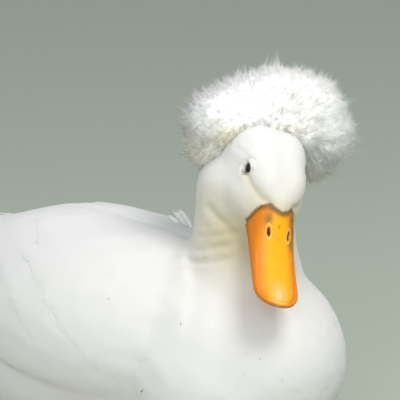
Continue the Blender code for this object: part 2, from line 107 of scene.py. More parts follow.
# Depth of the coat: the least, what it gains with the distance between feathers, its share at the lids, where
# from and to it grows beside an eye's axis, and the share where the feathers' roots are. The feathers' ways
# vary by the yaw, and no feathers grow where the trunk lies on the floor.
COAT_LEAST = 0.0007
COAT_PER_SPACING = 0.30
COAT_AT_LIDS = 0.18
COAT_GROWS_FROM_EYE = (0.0048, 0.0095)
COAT_ROOT_HEIGHT = 0.78
COAT_YAW = 0.10
UNDERSIDE_HEIGHT = 0.006

# Guides of the coat: where, the way the feathers point there, how far the guide reaches, and the distance
# between feathers. Those of the head are in the head's frame. Each that is off the middle has a mirror image.
HEAD_GUIDES = (
    ((0, -0.032, -0.006), (0, 1, 0.5), 0.012, 0.0015),
    ((0.014, -0.026, -0.018), (0.35, 1, 0.1), 0.012, 0.0015),
    ((0, -0.014, 0.010), (0, 1, 0.35), 0.016, 0.0019),
    ((0, 0.010, 0.018), (0, 1, 0.1), 0.018, 0.0022),
    ((0.024, 0.0, 0.0), (0.05, 1, -0.05), 0.014, 0.0018),
    ((0.027, 0.006, -0.018), (0.05, 1, -0.35), 0.018, 0.0023),
    ((0, -0.012, -0.034), (0, 1, -0.5), 0.016, 0.0019),
    ((0, 0.045, 0.0), (0, 0.5, -1), 0.020, 0.0026),
)
BODY_GUIDES = (
    ((0, -0.120, 0.176), (0, 0.1, -1), 0.024, 0.0030),
    ((0, -0.050, 0.178), (0, 0.1, -1), 0.024, 0.0030),
    ((0.036, -0.085, 0.165), (0.1, 0.2, -1), 0.026, 0.0034),
    ((0, -0.132, 0.135), (0, -0.1, -1), 0.032, 0.0046),
    ((0.052, -0.095, 0.120), (0.4, 0.5, -0.9), 0.032, 0.0048),
    ((0, -0.030, 0.155), (0, 1, -0.35), 0.032, 0.0054),
    ((0, -0.158, 0.080), (0, 0.2, -1), 0.040, 0.0062),
    ((0, -0.130, 0.020), (0, 1, -0.6), 0.045, 0.0070),
    ((0.082, -0.070, 0.070), (0, 0.9, -0.45), 0.045, 0.0068),
    ((0, 0.000, 0.000), (0, 1, 0), 0.060, 0.0085),
    ((0.090, 0.030, 0.060), (0, 1, -0.12), 0.060, 0.0078),
    ((0.050, 0.050, 0.150), (0.05, 1, 0), 0.050, 0.0078),
    ((0, 0.060, 0.160), (0, 1, 0), 0.050, 0.0078),
    ((0.070, 0.140, 0.070), (-0.1, 1, 0.12), 0.050, 0.0080),
    ((0, 0.160, 0.030), (0, 1, 0.5), 0.050, 0.0080),
    ((0, 0.190, 0.140), (0, 1, -0.1), 0.040, 0.0076),
    ((0, 0.235, 0.110), (0, 1, 0.1), 0.040, 0.0070),
)

# Camera: the photograph's direction, and what it looks at
CAMERA_AZIMUTH = math.radians(-50.0)
CAMERA_ELEVATION = math.radians(12.0)
CAMERA_AIM = (0.0336, 0.172, 0.122)
CAMERA_DISTANCE = 2.2
VIEW_WIDTH = 0.2817
SENSOR = 36.0


def unit(v):
    return v / np.maximum(np.linalg.norm(v, axis=-1, keepdims=True), 1e-12)


def smoothstep(low, high, x):
    t = np.clip((x - low) / (high - low), 0.0, 1.0)
    return t * t * (3.0 - 2.0 * t)


def hump(x, middle, width):
    """1 where x is at the middle, and a smooth fall to 0 beside it."""
    return np.exp(-(((x - middle) / width) ** 2))


def patch(points, middle, size):
    """1 at the middle of a soft patch, and a smooth fall to 0 around it, over size in each direction."""
    return np.exp(-(((points - np.array(middle)) / np.array(size)) ** 2).sum(1))


def blend(colour, other, share):
    return colour + (other - colour) * np.clip(share, 0.0, 1.0)[:, None]


def through(keys, t):
    """A smooth curve through (place, value) keys, read at t."""
    if t <= keys[0][0]:
        return keys[0][1]
    if t >= keys[-1][0]:
        return keys[-1][1]
    i = max(k for k in range(len(keys) - 1) if keys[k][0] <= t)
    (a, va), (b, vb) = keys[i], keys[i + 1]

    def slope(k):
        low, high = max(k - 1, 0), min(k + 1, len(keys) - 1)
        return (keys[high][1] - keys[low][1]) / (keys[high][0] - keys[low][0])

    u = (t - a) / (b - a)
    rise_a, rise_b = slope(i) * (b - a), slope(i + 1) * (b - a)
    return (
        (2 * u**3 - 3 * u**2 + 1) * va
        + (u**3 - 2 * u**2 + u) * rise_a
        + (3 * u**2 - 2 * u**3) * vb
        + (u**3 - u**2) * rise_b
    )


def mesh_of(bm, name):
    """A new mesh of a bmesh, which is freed."""
    mesh = bpy.data.meshes.new(name)
    bm.to_mesh(mesh)
    bm.free()
    return mesh


def link(name, mesh):
    obj = bpy.data.objects.new(name, mesh)
    bpy.context.scene.collection.objects.link(obj)
    return obj


def applied(obj):
    """Replaces obj's mesh by the one that its modifiers give."""
    bpy.context.view_layer.update()
    graph = bpy.context.evaluated_depsgraph_get()
    mesh = bpy.data.meshes.new_from_object(obj.evaluated_get(graph))
    obj.modifiers.clear()
    obj.data = mesh
    return obj


def to_world(matrix, points):
    m = np.array(matrix, float)
    return points @ m[:3, :3].T + m[:3, 3]


def to_local(matrix, points):
    """World points in a frame's own coordinates."""
    return to_world(matrix.inverted(), points)


def read(items, name, width, kind=float):
    """One attribute of all items, as rows of that width."""
    values = np.zeros(len(items) * width, kind)
    items.foreach_get(name, values)
    return values.reshape(-1, width)


def vertex_arrays(mesh):
    """The vertices' places and normals."""
    return read(mesh.vertices, "co", 3), read(mesh.vertices, "normal", 3)


class Surface:
    """A triangle mesh that answers for its nearest point, its smooth normal there and its map."""

    def __init__(self, obj):
        mesh = obj.data
        mesh.calc_loop_triangles()
        self.points, self.normals = vertex_arrays(mesh)
        self.corners = read(mesh.loop_triangles, "vertices", 3, np.int32)
        corners_map = read(mesh.uv_layers[0].uv, "vector", 2)
        self.map = corners_map[read(mesh.loop_triangles, "loops", 3, np.int32)]
        self.tree = BVHTree.FromPolygons(self.points.tolist(), self.corners.tolist())

    def shares(self, index, places):
        """Each place's shares of its triangle's corners."""
        a, b, c = (self.points[self.corners[index, k]] for k in range(3))
        ab, ac, ap = b - a, c - a, places - a
        d00, d01, d11 = (ab * ab).sum(1), (ab * ac).sum(1), (ac * ac).sum(1)
        d20, d21 = (ap * ab).sum(1), (ap * ac).sum(1)
        area = np.maximum(d00 * d11 - d01 * d01, 1e-24)
        v = (d11 * d20 - d01 * d21) / area
        w = (d00 * d21 - d01 * d20) / area
        return np.clip(np.stack([1.0 - v - w, v, w], 1), 0.0, 1.0)

    def nearest(self, places):
        """Nearest points, smooth normals, triangle numbers and shares of the triangles' corners."""
        find = self.tree.find_nearest
        found = [find(p) for p in places.tolist()]
        points = np.array([f[0].to_tuple() for f in found])
        index = np.array([f[2] for f in found], int)
        share = self.shares(index, points)
        normals = (self.normals[self.corners[index]] * share[:, :, None]).sum(1)
        return points, unit(normals), index, share

    def map_at(self, index, share):
        return (self.map[index] * share[:, :, None]).sum(1)


def scatter(surface, spacing, wanted, seed, crowd=5.0):
    """Points on the surface, at least spacing(place) apart, where wanted(place, normal) is true."""
    draw = np.random.RandomState(seed)
    a, b, c = (surface.points[surface.corners[:, k]] for k in range(3))
    area = np.linalg.norm(np.cross(b - a, c - a), axis=1) / 2
    middle = (a + b + c) / 3
    facing = unit(np.cross(b - a, c - a))
    keep = wanted(middle, facing)
    gap = spacing(middle)
    chance = np.where(keep, area / gap**2, 0.0)
    count = int(chance.sum() * crowd)
    picked = draw.choice(len(area), count, p=chance / chance.sum())
    u, v = draw.rand(count), draw.rand(count)
    over = u + v > 1.0
    u[over], v[over] = 1.0 - u[over], 1.0 - v[over]
    places = a[picked] + (b - a)[picked] * u[:, None] + (c - a)[picked] * v[:, None]
    cell = float(gap[keep].max())
    cells = np.floor(places / cell).astype(int).tolist()
    points, gaps, kept = places.tolist(), gap[picked].tolist(), []
    grid = {}
    near = [(i, j, k) for i in (-1, 0, 1) for j in (-1, 0, 1) for k in (-1, 0, 1)]
    for n, (x, y, z) in enumerate(points):
        limit = gaps[n] ** 2
        i, j, k = cells[n]
        free = True
        for di, dj, dk in near:
            for ox, oy, oz in grid.get((i + di, j + dj, k + dk), ()):
                if (x - ox) ** 2 + (y - oy) ** 2 + (z - oz) ** 2 < limit:
                    free = False
                    break
            if not free:
                break
        if free:
            grid.setdefault((i, j, k), []).append((x, y, z))
            kept.append(n)
    return places[kept]


def mirrored(guides):
    for place, way, reach, gap in guides:
        yield place, way, reach, gap
        if place[0]:
            yield (-place[0], *place[1:]), (-way[0], *way[1:]), reach, gap


def guide_arrays():
    turn = HEAD.to_3x3()
    head = [(tuple(HEAD @ Vector(p)), tuple(turn @ Vector(d)), r, s) for p, d, r, s in mirrored(HEAD_GUIDES)]
    places, ways, reach, gaps = (np.array(column, float) for column in zip(*head, *mirrored(BODY_GUIDES)))
    return places, unit(ways), reach, gaps


GUIDES = guide_arrays()


def guide_weights(points):
    places, _, reach, _ = GUIDES
    away = ((points[:, None, :] - places[None]) ** 2).sum(2)
    power = -away / reach**2
    power -= power.max(1, keepdims=True)
    weight = np.exp(power)
    return weight / weight.sum(1, keepdims=True)


def spacing(points):
    """Distance between feathers."""
    return guide_weights(points) @ GUIDES[3]


def lie(points, normals):
    """The way the feathers point, along the skin."""
    way = guide_weights(points) @ GUIDES[1]
    way -= normals * (way * normals).sum(1, keepdims=True)
    return unit(way)


def coat_depth(points):
    """How deep the skin lies under the coat's face. The coat thins out at the lids."""
    full = COAT_LEAST + COAT_PER_SPACING * spacing(points)
    grown = smoothstep(*COAT_GROWS_FROM_EYE, from_eye_axis(points))
    return full * (COAT_AT_LIDS + (1.0 - COAT_AT_LIDS) * grown)


# Skin


def joined_copy(names, swell):
    """One mesh of copies of CAD nodes, each grown to overlap its neighbours, with the tail's root only."""
    whole = bmesh.new()
    for name in names:
        part = bmesh.new()
        part.from_mesh(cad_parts[name].data)
        bmesh.ops.remove_doubles(part, verts=part.verts, dist=1e-5)
        if name == "tail":
            geom = list(part.verts) + list(part.edges) + list(part.faces)
            end = (0, TAIL_FLESH_END, 0)
            bmesh.ops.bisect_plane(part, geom=geom, plane_co=end, plane_no=(0, 1, 0), clear_outer=True)
            bmesh.ops.holes_fill(part, edges=[e for e in part.edges if e.is_boundary])
        part.normal_update()
        moved = [(v, v.co + v.normal * swell) for v in part.verts]
        for vert, place in moved:
            vert.co = place
        mesh = mesh_of(part, "part")
        whole.from_mesh(mesh)
        bpy.data.meshes.remove(mesh)
    return mesh_of(whole, "joined")


def melted(obj, voxel, steps):
    remesh = obj.modifiers.new("remesh", "REMESH")
    remesh.mode = "VOXEL"
    remesh.voxel_size = voxel
    smooth = obj.modifiers.new("smooth", "SMOOTH")
    smooth.factor = 0.5
    smooth.iterations = steps
    return applied(obj)


def set_places(mesh, co):
    mesh.vertices.foreach_set("co", co.astype(np.float32).ravel())
    mesh.update()


def refine(obj, wanted):
    """Divides the faces round the vertices that wanted picks."""
    bm = bmesh.new()
    bm.from_mesh(obj.data)
    picked = wanted(vertex_arrays(obj.data)[0])
    edges = [e for e in bm.edges if picked[e.verts[0].index] and picked[e.verts[1].index]]
    bmesh.ops.subdivide_edges(bm, edges=edges, cuts=1, use_grid_fill=True, smooth=0.0)
    bm.to_mesh(obj.data)
    bm.free()
    obj.data.update()


def line_distance(points, line):
    """Distance from each point to a bent line."""
    best = np.full(len(points), 1.0)
    for a, b in zip(line[:-1], line[1:]):
        a, b = np.array(a, float), np.array(b, float)
        share = np.clip(((points - a) @ (b - a)) / ((b - a) @ (b - a)), 0.0, 1.0)
        best = np.minimum(best, np.linalg.norm(points - a - share[:, None] * (b - a), axis=1))
    return best


def crease_depth(points):
    """How far folds sink the skin, and their lips raise it."""
    local = to_local(HEAD, points)
    sunk = np.zeros(len(points))
    for sign in (1, -1):
        for line, depth, width in FACE_CREASES:
            away = line_distance(local * np.array((sign, 1, 1)), line)
            sunk += depth * (hump(away, 0.0, width) - FACE_LIP * hump(away, 2.1 * width, width))
    for line, depth, width in NECK_CREASES:
        away = line_distance(points, line)
        sunk += depth * (hump(away, 0.0, width) - NECK_LIP * hump(away, 2.0 * width, width))
    return sunk


def eye_frames():
    """For each eye its side, its centre and the axis that it looks along, in the world."""
    for side, sign in (("left", 1), ("right", -1)):
        centre = np.array(HEAD @ Vector((sign * EYE_AT.x, EYE_AT.y, EYE_AT.z)))
        axis = unit(np.array(HEAD.to_3x3() @ Vector((sign * EYE_AXIS[0], EYE_AXIS[1], EYE_AXIS[2]))))
        yield side, centre, axis


def beside_axis(points, centre, axis):
    """Each point's depth along an eye's axis, its offset from it and its distance from it."""
    offset = points - centre
    depth = offset @ axis
    lateral = offset - depth[:, None] * axis
    return depth, lateral, np.linalg.norm(lateral, axis=1)


def from_eye_axis(points):
    """Distance from the line that the nearer eye looks along, for points in front of the eyeball's middle."""
    best = np.full(len(points), 1.0)
    for _, centre, axis in eye_frames():
        depth, _, away = beside_axis(points, centre, axis)
        best = np.minimum(best, np.where(depth > -EYE_RADIUS, away, 1.0))
    return best


def eye_distance(points):
    """Distance from the middle of the nearer eyeball."""
    return np.min([np.linalg.norm(points - centre, axis=1) for _, centre, _ in eye_frames()], 0)


def wrap_lids(points):
    """Draws the skin over each eyeball, up to the opening between the lids."""
    over = EYE_RADIUS + LID_THICKNESS
    for _, centre, axis in eye_frames():
        depth, lateral, away = beside_axis(points, centre, axis)
        near = (depth > -EYE_RADIUS) & (away < over)
        ball = np.sqrt(np.maximum(over**2 - away**2, 0.0))
        raised = np.where(near & (away > LID_RADIUS), np.maximum(depth, ball), depth)
        raised = np.where(near & (away <= LID_RADIUS), EYE_RADIUS * OPENING_DEPTH, raised)
        points = centre + lateral + raised[:, None] * axis
    return points


def add_lids(skin):
    """The thickened edges of the lids, joined to the skin."""
    whole = bmesh.new()
    whole.from_mesh(skin.data)
    around, sides = 48, 8
    for _, centre, axis in eye_frames():
        up = unit(np.array(HEAD.to_3x3() @ Vector((0, 0, 1))))
        up = unit(up - axis * (up @ axis))
        ahead = np.cross(up, axis)
        rings = []
        for k in range(around):
            turn = math.tau * k / around
            out = ahead * math.cos(turn) + up * math.sin(turn)
            reach = LID_RADIUS + LID_EDGE * 0.3
            middle = centre + out * reach + axis * math.sqrt(EYE_RADIUS**2 - reach**2)
            outward = unit(middle - centre)
            across = unit(out - outward * (out @ outward))
            ring = []
            for m in range(sides):
                a = math.tau * m / sides
                edge = across * math.cos(a) + outward * math.sin(a)
                ring.append(whole.verts.new(middle + LID_EDGE * edge))
            rings.append(ring)
        for k in range(around):
            near, far = rings[k], rings[(k + 1) % around]
            for m in range(sides):
                n = (m + 1) % sides
                whole.faces.new((near[m], near[n], far[n], far[m]))
    bmesh.ops.recalc_face_normals(whole, faces=whole.faces)
    whole.to_mesh(skin.data)
    whole.free()


def make_skin():
    """One skin for trunk, neck, head and wings, inside them by the coat's depth."""
    skin = link("skin", joined_copy((*FLESH, "tail"), SWELL))
    melted(skin, SKIN_VOXEL, SKIN_SMOOTH)
    co, normal = vertex_arrays(skin.data)
    set_places(skin.data, co - normal * (coat_depth(co) + SWELL)[:, None])
    melted(skin, SKIN_VOXEL, 2)
    refine(skin, lambda p: p[:, 2] > FINE_ABOVE)
    for reach in FINE_ROUND_EYES:
        refine(skin, lambda p: eye_distance(p) < reach)
    co, normal = vertex_arrays(skin.data)
    co = co - normal * crease_depth(co)[:, None]
    set_places(skin.data, wrap_lids(co))
    add_lids(skin)
    skin.data.shade_smooth()
    unwrap(skin)
    return skin


def unwrap(obj):
    """A map of obj's own shape."""
    bpy.ops.object.select_all(action="DESELECT")
    bpy.context.view_layer.objects.active = obj
    obj.select_set(True)
    bpy.ops.object.mode_set(mode="EDIT")
    bpy.ops.mesh.select_all(action="SELECT")
    bpy.ops.uv.smart_project(angle_limit=math.radians(66.0), island_margin=0.002)
    bpy.ops.object.mode_set(mode="OBJECT")
    obj.data.uv_layers[0].name = "OFBake"


# Materials


def material(name):
    made = bpy.data.materials.new(name)
    made.use_nodes = True
    return made, made.node_tree.nodes["Principled BSDF"]


def add(made, kind, **values):
    """A new node of a material, with the values of its inputs. An underscore in a name stands for a space."""
    node = made.node_tree.nodes.new("ShaderNode" + kind)
    for name, value in values.items():
        node.inputs[name.replace("_", " ")].default_value = value
    return node


def texture(made, kind, **values):
    """A texture node that follows the piece's own coordinates."""
    made_texture = add(made, kind, **values)
    made.node_tree.links.new(add(made, "TexCoord").outputs["Object"], made_texture.inputs["Vector"])
    return made_texture


def shade(made, shader, value, height, strength, distance, **tones):
    """Gives a shader the piece's tint times a texture's value, taken to the tones, as its colour, and a
    texture's height as its relief. Without tones the value is used as it is. Returns the colour."""
    links = made.node_tree.links
    if tones:
        tone = add(made, "MapRange", **tones)
        links.new(value, tone.inputs["Value"])
        value = tone.outputs["Result"]
    tint = add(made, "Attribute")
    tint.attribute_name = "tint"
    mix = add(made, "Mix")
    mix.data_type = "RGBA"
    mix.blend_type = "MULTIPLY"
    mix.inputs["Factor"].default_value = 1.0
    links.new(tint.outputs["Color"], mix.inputs["A"])
    links.new(value, mix.inputs["B"])
    links.new(mix.outputs["Result"], shader.inputs["Base Color"])
    relief = add(made, "Bump", Strength=strength, Distance=distance)
    links.new(height, relief.inputs["Height"])
    links.new(relief.outputs["Normal"], shader.inputs["Normal"])
    return mix.outputs["Result"]


def plumage_material(name, roughness=0.75, bump=0.12, through=0.0):
    """White feather: the coat's own tint, a little mottling, and fine barbs as relief. through is the share
    of the light that passes to the other side."""
    made, shader = material(name)
    mottle = texture(made, "TexNoise", Scale=60.0)
    barbs = texture(made, "TexNoise", Scale=900.0, Detail=3.0)
    value, height = mottle.outputs["Fac"], barbs.outputs["Fac"]
    colour = shade(made, shader, value, height, bump, 0.0003, To_Min=0.965, To_Max=1.0)
    shader.inputs["Roughness"].default_value = roughness
    shader.inputs["Sheen Weight"].default_value = 0.15
    shader.inputs["Specular IOR Level"].default_value = 0.25
    if through:
        links = made.node_tree.links
        glow = add(made, "BsdfTranslucent")
        links.new(colour, glow.inputs["Color"])
        both = add(made, "MixShader", Fac=through)
        links.new(shader.outputs["BSDF"], both.inputs[1])
        links.new(glow.outputs["BSDF"], both.inputs[2])
        links.new(both.outputs["Shader"], made.node_tree.nodes["Material Output"].inputs["Surface"])
    return made


WHITE = np.array((0.88, 0.875, 0.855))
CREAM = np.array((0.78, 0.715, 0.52))
# Colour of the painted shadow that the head casts on the neck
PAINTED_HEAD_SHADOW = np.array((0.64, 0.56, 0.36))
# Olive-cream of the crest's lower edge: partly a real stain of the feathers, partly painted shade
STAIN_AND_SHADE = np.array((0.72, 0.63, 0.32))
RIM = np.array((0.30, 0.17, 0.05))
LID = np.array((0.60, 0.54, 0.44))
# Half width of the painted shade along the fold from eye to bill
LORE_SHADE_WIDTH = 0.0045


@functools.lru_cache(maxsize=None)
def bill_tree():
    mesh = bill_shell("bill_outline", False)
    co, _ = vertex_arrays(mesh)
    return BVHTree.FromPolygons(to_world(BILL, co).tolist(), [tuple(p.vertices) for p in mesh.polygons])


def bill_distance(points):
    """Distance to the bill, for points at its base, and a large number elsewhere."""
    away = np.full(len(points), 1.0)
    base = np.array(BILL @ BILL_BASE)
    near = np.flatnonzero(np.linalg.norm(points - base, axis=1) < BILL_BASE_REACH)
    find = bill_tree().find_nearest
    away[near] = [find(p)[3] for p in points[near].tolist()]
    return away


def tint(points):
    """The plumage's colour by place: white; cream on throat and neck, partly the feathers' own yellowish tone
    and partly painted shade and warm reflected light; a painted shadow of the head on the neck; painted shade
    along the fold from eye to bill; brownish where it meets the bill.
    """
    local = to_local(HEAD, points)
    colour = np.repeat(WHITE[None], len(points), 0)
    # Cream on the lower neck: partly the feathers' own yellowish tone, partly painted shade and warm
    # reflected light
    colour = blend(colour, CREAM, 0.95 * patch(points, (-0.014, -0.112, 0.168), (0.045, 0.05, 0.034)))
    # Cream under the head, on chin and throat: partly the feathers' own tone, partly painted shade under the
    # head
    colour = blend(colour, CREAM, 0.8 * patch(local, (-0.004, 0.004, -0.038), (0.03, 0.03, 0.014)))
    # Painted shadow of the head on the neck, right under the jaw
    colour = blend(colour, PAINTED_HEAD_SHADOW, 0.75 * patch(points, (-0.030, -0.098, 0.166), (0.020, 0.026, 0.016)))
    one_side = np.stack([np.abs(local[:, 0]), local[:, 1], local[:, 2]], 1)
    # Painted shade along the fold from eye to bill, on both sides of the head
    colour = blend(colour, CREAM, 0.6 * hump(line_distance(one_side, LORE), 0.0, LORE_SHADE_WIDTH))
    from_bill = bill_distance(points)
    colour = blend(colour, CREAM, 0.6 * smoothstep(0.0060, 0.0015, from_bill))
    colour = blend(colour, RIM, 0.95 * smoothstep(0.0013, 0.0005, from_bill))
    return blend(colour, LID, smoothstep(LID_MARGIN, 1.03, from_eye_axis(points) / LID_RADIUS))


def paint(mesh, colours):
    attribute = mesh.color_attributes.get("tint") or mesh.color_attributes.new("tint", "FLOAT_COLOR", "POINT")
    values = np.ones((len(mesh.vertices), 4), np.float32)
    values[:, :3] = colours
    attribute.data.foreach_set("color", values.ravel())


# Feathers


def sheet_faces(count, lines, columns):
    """Quads of count grids, each of lines x columns points."""
    i, j = np.meshgrid(np.arange(lines - 1), np.arange(columns - 1), indexing="ij")
    first = (i * columns + j).ravel()
    quad = np.stack([first, first + 1, first + columns + 1, first + columns], 1)
    return (quad[None] + (np.arange(count) * lines * columns)[:, None, None]).reshape(-1, 4)


def mesh_from(name, points, quads, uv, colours):
    """A mesh from arrays of points and quads, with each point's place on OFBake and its colour."""
    mesh = bpy.data.meshes.new(name)
    mesh.vertices.add(len(points))
    mesh.vertices.foreach_set("co", points.astype(np.float32).ravel())
    mesh.loops.add(quads.size)
    mesh.loops.foreach_set("vertex_index", quads.astype(np.int32).ravel())
    mesh.polygons.add(len(quads))
    mesh.polygons.foreach_set("loop_start", (np.arange(len(quads)) * 4).astype(np.int32))
    mesh.update(calc_edges=True)
    mesh.shade_smooth()
    layer = mesh.uv_layers.new(name="OFBake")
    layer.uv.foreach_set("vector", uv[quads.ravel()].astype(np.float32).ravel())
    paint(mesh, colours)
    return mesh


ABOVE_FLOOR = 0.0002
PATCH = 0.003
MOST_QUADS = 98000
SHAFT_WIDTH = 0.12
SHAFT_HEIGHT = 0.0004


def vane_grid(lines, columns, root_width, tip_width, round_from):
    """A vane's points: across (in half widths), along (0 to 1) and the column's share of the width. The end
    is round from round_from on."""
    a = np.linspace(0.0, 1.0, lines) ** 0.75
    b = np.linspace(-1.0, 1.0, columns)
    aa, bb = np.meshgrid(a, b, indexing="ij")
    width = root_width + (1.0 - root_width) * smoothstep(0.0, 0.5, aa)
    end = np.clip((aa - round_from) / (1.0 - round_from), 0.0, 1.0)
    width *= np.sqrt(1.0 - end**2 * (1.0 - tip_width**2))
    return (bb * width).ravel(), aa.ravel(), bb.ravel()


def lay_vanes(surface, roots, ways, lengths, half_widths, low, high, grid, draw,
              fray=0.06, camber=0.10, part=None, shaft=0.0):
    """Feathers over a surface: each point of a vane follows the surface, at the vane's height there. low and
    high are the heights of its root and tip. Returns points, quads, map and the surface's normals."""
    lines, columns = grid[0], grid[1]
    across, t, b = vane_grid(*grid)
    count, size = len(roots), lines * columns
    _, normals, index, share = surface.nearest(roots)
    sides = np.cross(normals, ways)
    ragged = 1.0 + fray * draw.uniform(-1.0, 1.0, (count, size)) * (t > 0.99)
    reach = lengths[:, None] * t[None] * ragged
    bend = 0.10 * draw.standard_normal(count)[:, None] * t[None] ** 2
    out = half_widths[:, None] * across[None] + lengths[:, None] * bend * 0.5
    places = roots[:, None] + ways[:, None] * reach[..., None] + sides[:, None] * out[..., None]
    places = places.reshape(-1, 3)
    if part is not None:
        places = part(places)
    points, smooth, _, _ = surface.nearest(places)
    rise = t * (2.0 - t)
    step = (high - low)[:, None] * (rise - camber * b**2 * t)[None] + low[:, None]
    step = step * (1.0 + 0.03 * draw.standard_normal(count))[:, None]
    step = step + shaft * (hump(b, 0.0, SHAFT_WIDTH) * (1.0 - t))[None]
    points = points + smooth * step.reshape(-1, 1)
    points[:, 2] = np.maximum(points[:, 2], ABOVE_FLOOR)
    quads = sheet_faces(count, lines, columns)[:, ::-1]
    local = np.stack([np.tile(b, count), np.tile(t, count)], 1) * (PATCH / 2)
    return points, quads, np.repeat(surface.map_at(index, share), size, 0) + local, smooth


def part_at_eyes(places):
    """Feathers part round the lids."""
    edge = LID_RADIUS * LID_MARGIN
    for _, centre, axis in eye_frames():
        depth, lateral, away = beside_axis(places, centre, axis)
        close = (away < edge) & (depth > 0)
        push = (edge / np.maximum(away, 1e-6))[:, None]
        places = np.where(close[:, None], centre + depth[:, None] * axis + lateral * push, places)
    return places


def clear_of_eyes(points):
    """True where a feather may grow, which is outside the lids' edges."""
    clear = np.full(len(points), True)
    for _, centre, axis in eye_frames():
        depth, _, away = beside_axis(points, centre, axis)
        clear &= (away > LID_RADIUS * LID_MARGIN) | (depth < 0) | (depth > 0.02)
    return clear


def coat_pieces(name, points, quads, uv, soft, mat, own=1.0, tinted=tint, slot="plumage"):
    """Objects of the coat, each under the limit of triangles. own is the share of the faces' own normals; the
    rest is the skin's, given by soft."""
    made = []
    pieces = max(1, math.ceil(len(quads) / MOST_QUADS))
    cut = math.ceil(len(quads) / pieces)
    for k in range(pieces):
        chosen = quads[k * cut:(k + 1) * cut]
        used = np.unique(chosen)
        renumber = np.zeros(len(points), np.int64)
        renumber[used] = np.arange(len(used))
        title = name if pieces == 1 else f"{name}_{k + 1}"
        mesh = mesh_from(title, points[used], renumber[chosen], uv[used], tinted(points[used]))
        if own < 1.0:
            _, faced = vertex_arrays(mesh)
            normals = unit(faced * own + soft[used] * (1.0 - own))
            mesh.normals_split_custom_set_from_vertices(normals.tolist())
        mesh.materials.append(mat)
        made.append(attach(link(title, mesh), "root"))
    return made


def in_head(points):
    """True for points of the head, which ends above the neck."""
    local = to_local(HEAD, points)
    return (local[:, 2] > HEAD_BOTTOM) & (np.linalg.norm(local * HEAD_SHAPE, axis=1) < HEAD_REACH)


def make_coat(surface, mat):
    """Contour feathers: finest on the face, largest on back and belly."""
    draw = np.random.RandomState(11)
    head_grid = (6, 5, 0.5, 0.25, 0.45)
    body_grid = (8, 7, 0.5, 0.30, 0.55)

    def head_wanted(points, normals):
        return in_head(points) & clear_of_eyes(points)

    def body_wanted(points, normals):
        lain_on = (points[:, 2] < UNDERSIDE_HEIGHT) & (normals[:, 2] < -0.8)
        return ~in_head(points) & ~lain_on

    for title, wanted, grid, seed, fine, longer, wider in (
        ("plumage_head", head_wanted, head_grid, 21, 0.56, 3.4, 0.72),
        ("plumage_body", body_wanted, body_grid, 22, 0.76, 3.4, 0.95),
    ):
        roots = scatter(surface, lambda p: fine * spacing(p), wanted, seed)
        points, normals, _, _ = surface.nearest(roots)
        ways = lie(points, normals)
        yaw = COAT_YAW * draw.standard_normal(len(roots))[:, None]
        ways = unit(ways + np.cross(normals, ways) * yaw)
        gap = spacing(roots)
        lengths = gap * longer * draw.uniform(0.85, 1.15, len(roots))
        half = gap * wider * draw.uniform(0.85, 1.1, len(roots))
        high = coat_depth(roots)
        low = high * COAT_ROOT_HEIGHT
        made = lay_vanes(surface, points, ways, lengths, half, low, high, grid, draw, part=part_at_eyes)
        coat_pieces(title, *made, mat, own=0.3)


# Crest

CREST_FAN = np.array((0.003, 0.018, 0.008))
CREST_INSET = 0.0036
CREST_GAP = 0.0017
CREST_LINES = 5
CREST_LUMPS = 130.0
CREST_LUMP_HEIGHT = 0.0016
CREST_SUNK = 0.0010
CREST_WHITE = np.array((0.93, 0.93, 0.915))
TUFT_FILAMENTS = 8
TUFT_SPREAD = 0.0011
TUFT_LENGTHS = (0.0065, 0.0090)
TUFT_ROOT = 0.0018
WISP_SHARE = 0.16
WISP_LONGER = 1.45
WISP_GATHER = 0.92
FILAMENT_HALF_WIDTH = 0.00017


def make_crest_core(mat, head):
    """The dense down that the crest's filaments stand in. It lies against the head."""
    core = link("crest_down", joined_copy(("crest",), 0.0))
    melted(core, SKIN_VOXEL, 10)
    co, normal = vertex_arrays(core.data)
    beside, _, _, _ = head.nearest(co)
    inset = CREST_INSET * smoothstep(0.002, 0.010, np.linalg.norm(co - beside, axis=1))
    set_places(core.data, co - normal * inset[:, None])
    melted(core, SKIN_VOXEL, 6)
    co, _ = vertex_arrays(core.data)
    beside, facing, _, _ = head.nearest(co)
    away = np.linalg.norm(co - beside, axis=1)
    joined = smoothstep(0.0050, 0.0025, away)
    co, normal = vertex_arrays(core.data)
    lumps = np.array([noise.noise(Vector(p)) for p in (co * CREST_LUMPS).tolist()])
    co = co + normal * (CREST_LUMP_HEIGHT * lumps * smoothstep(0.003, 0.009, away))[:, None]
    set_places(core.data, co + (beside - facing * CREST_SUNK - co) * joined[:, None])
    core.data.shade_smooth()
    unwrap(core)
    core.data.materials.append(mat)
    co, _ = vertex_arrays(core.data)
    paint(core.data, crest_tint(co))
    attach(core, "root")
    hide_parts("crest")
    return core


def crest_tint(points):
    """White, with an olive-cream tone along the lower front edge, strongest on the duck's right, partly a
    real stain and partly painted shade under the crest; a thin band of painted shade where the crest meets
    the crown; and creamier towards the crest's base.
    """
    local = to_local(HEAD, points)
    colour = np.repeat(CREST_WHITE[None], len(points), 0)
    stain_and_shade = 0.8 * patch(local, (-0.022, 0.024, 0.004), (0.022, 0.014, 0.010))
    # Painted shade: a thin band where the crest's front meets the crown
    front = 0.45 * patch(local, (0.004, 0.026, 0.026), (0.024, 0.010, 0.005))
    colour = blend(colour, STAIN_AND_SHADE, np.maximum(stain_and_shade, front))
    # Creamier towards the crest's base
    return blend(colour, CREAM, 0.35 * smoothstep(0.006, -0.022, local[:, 2]))


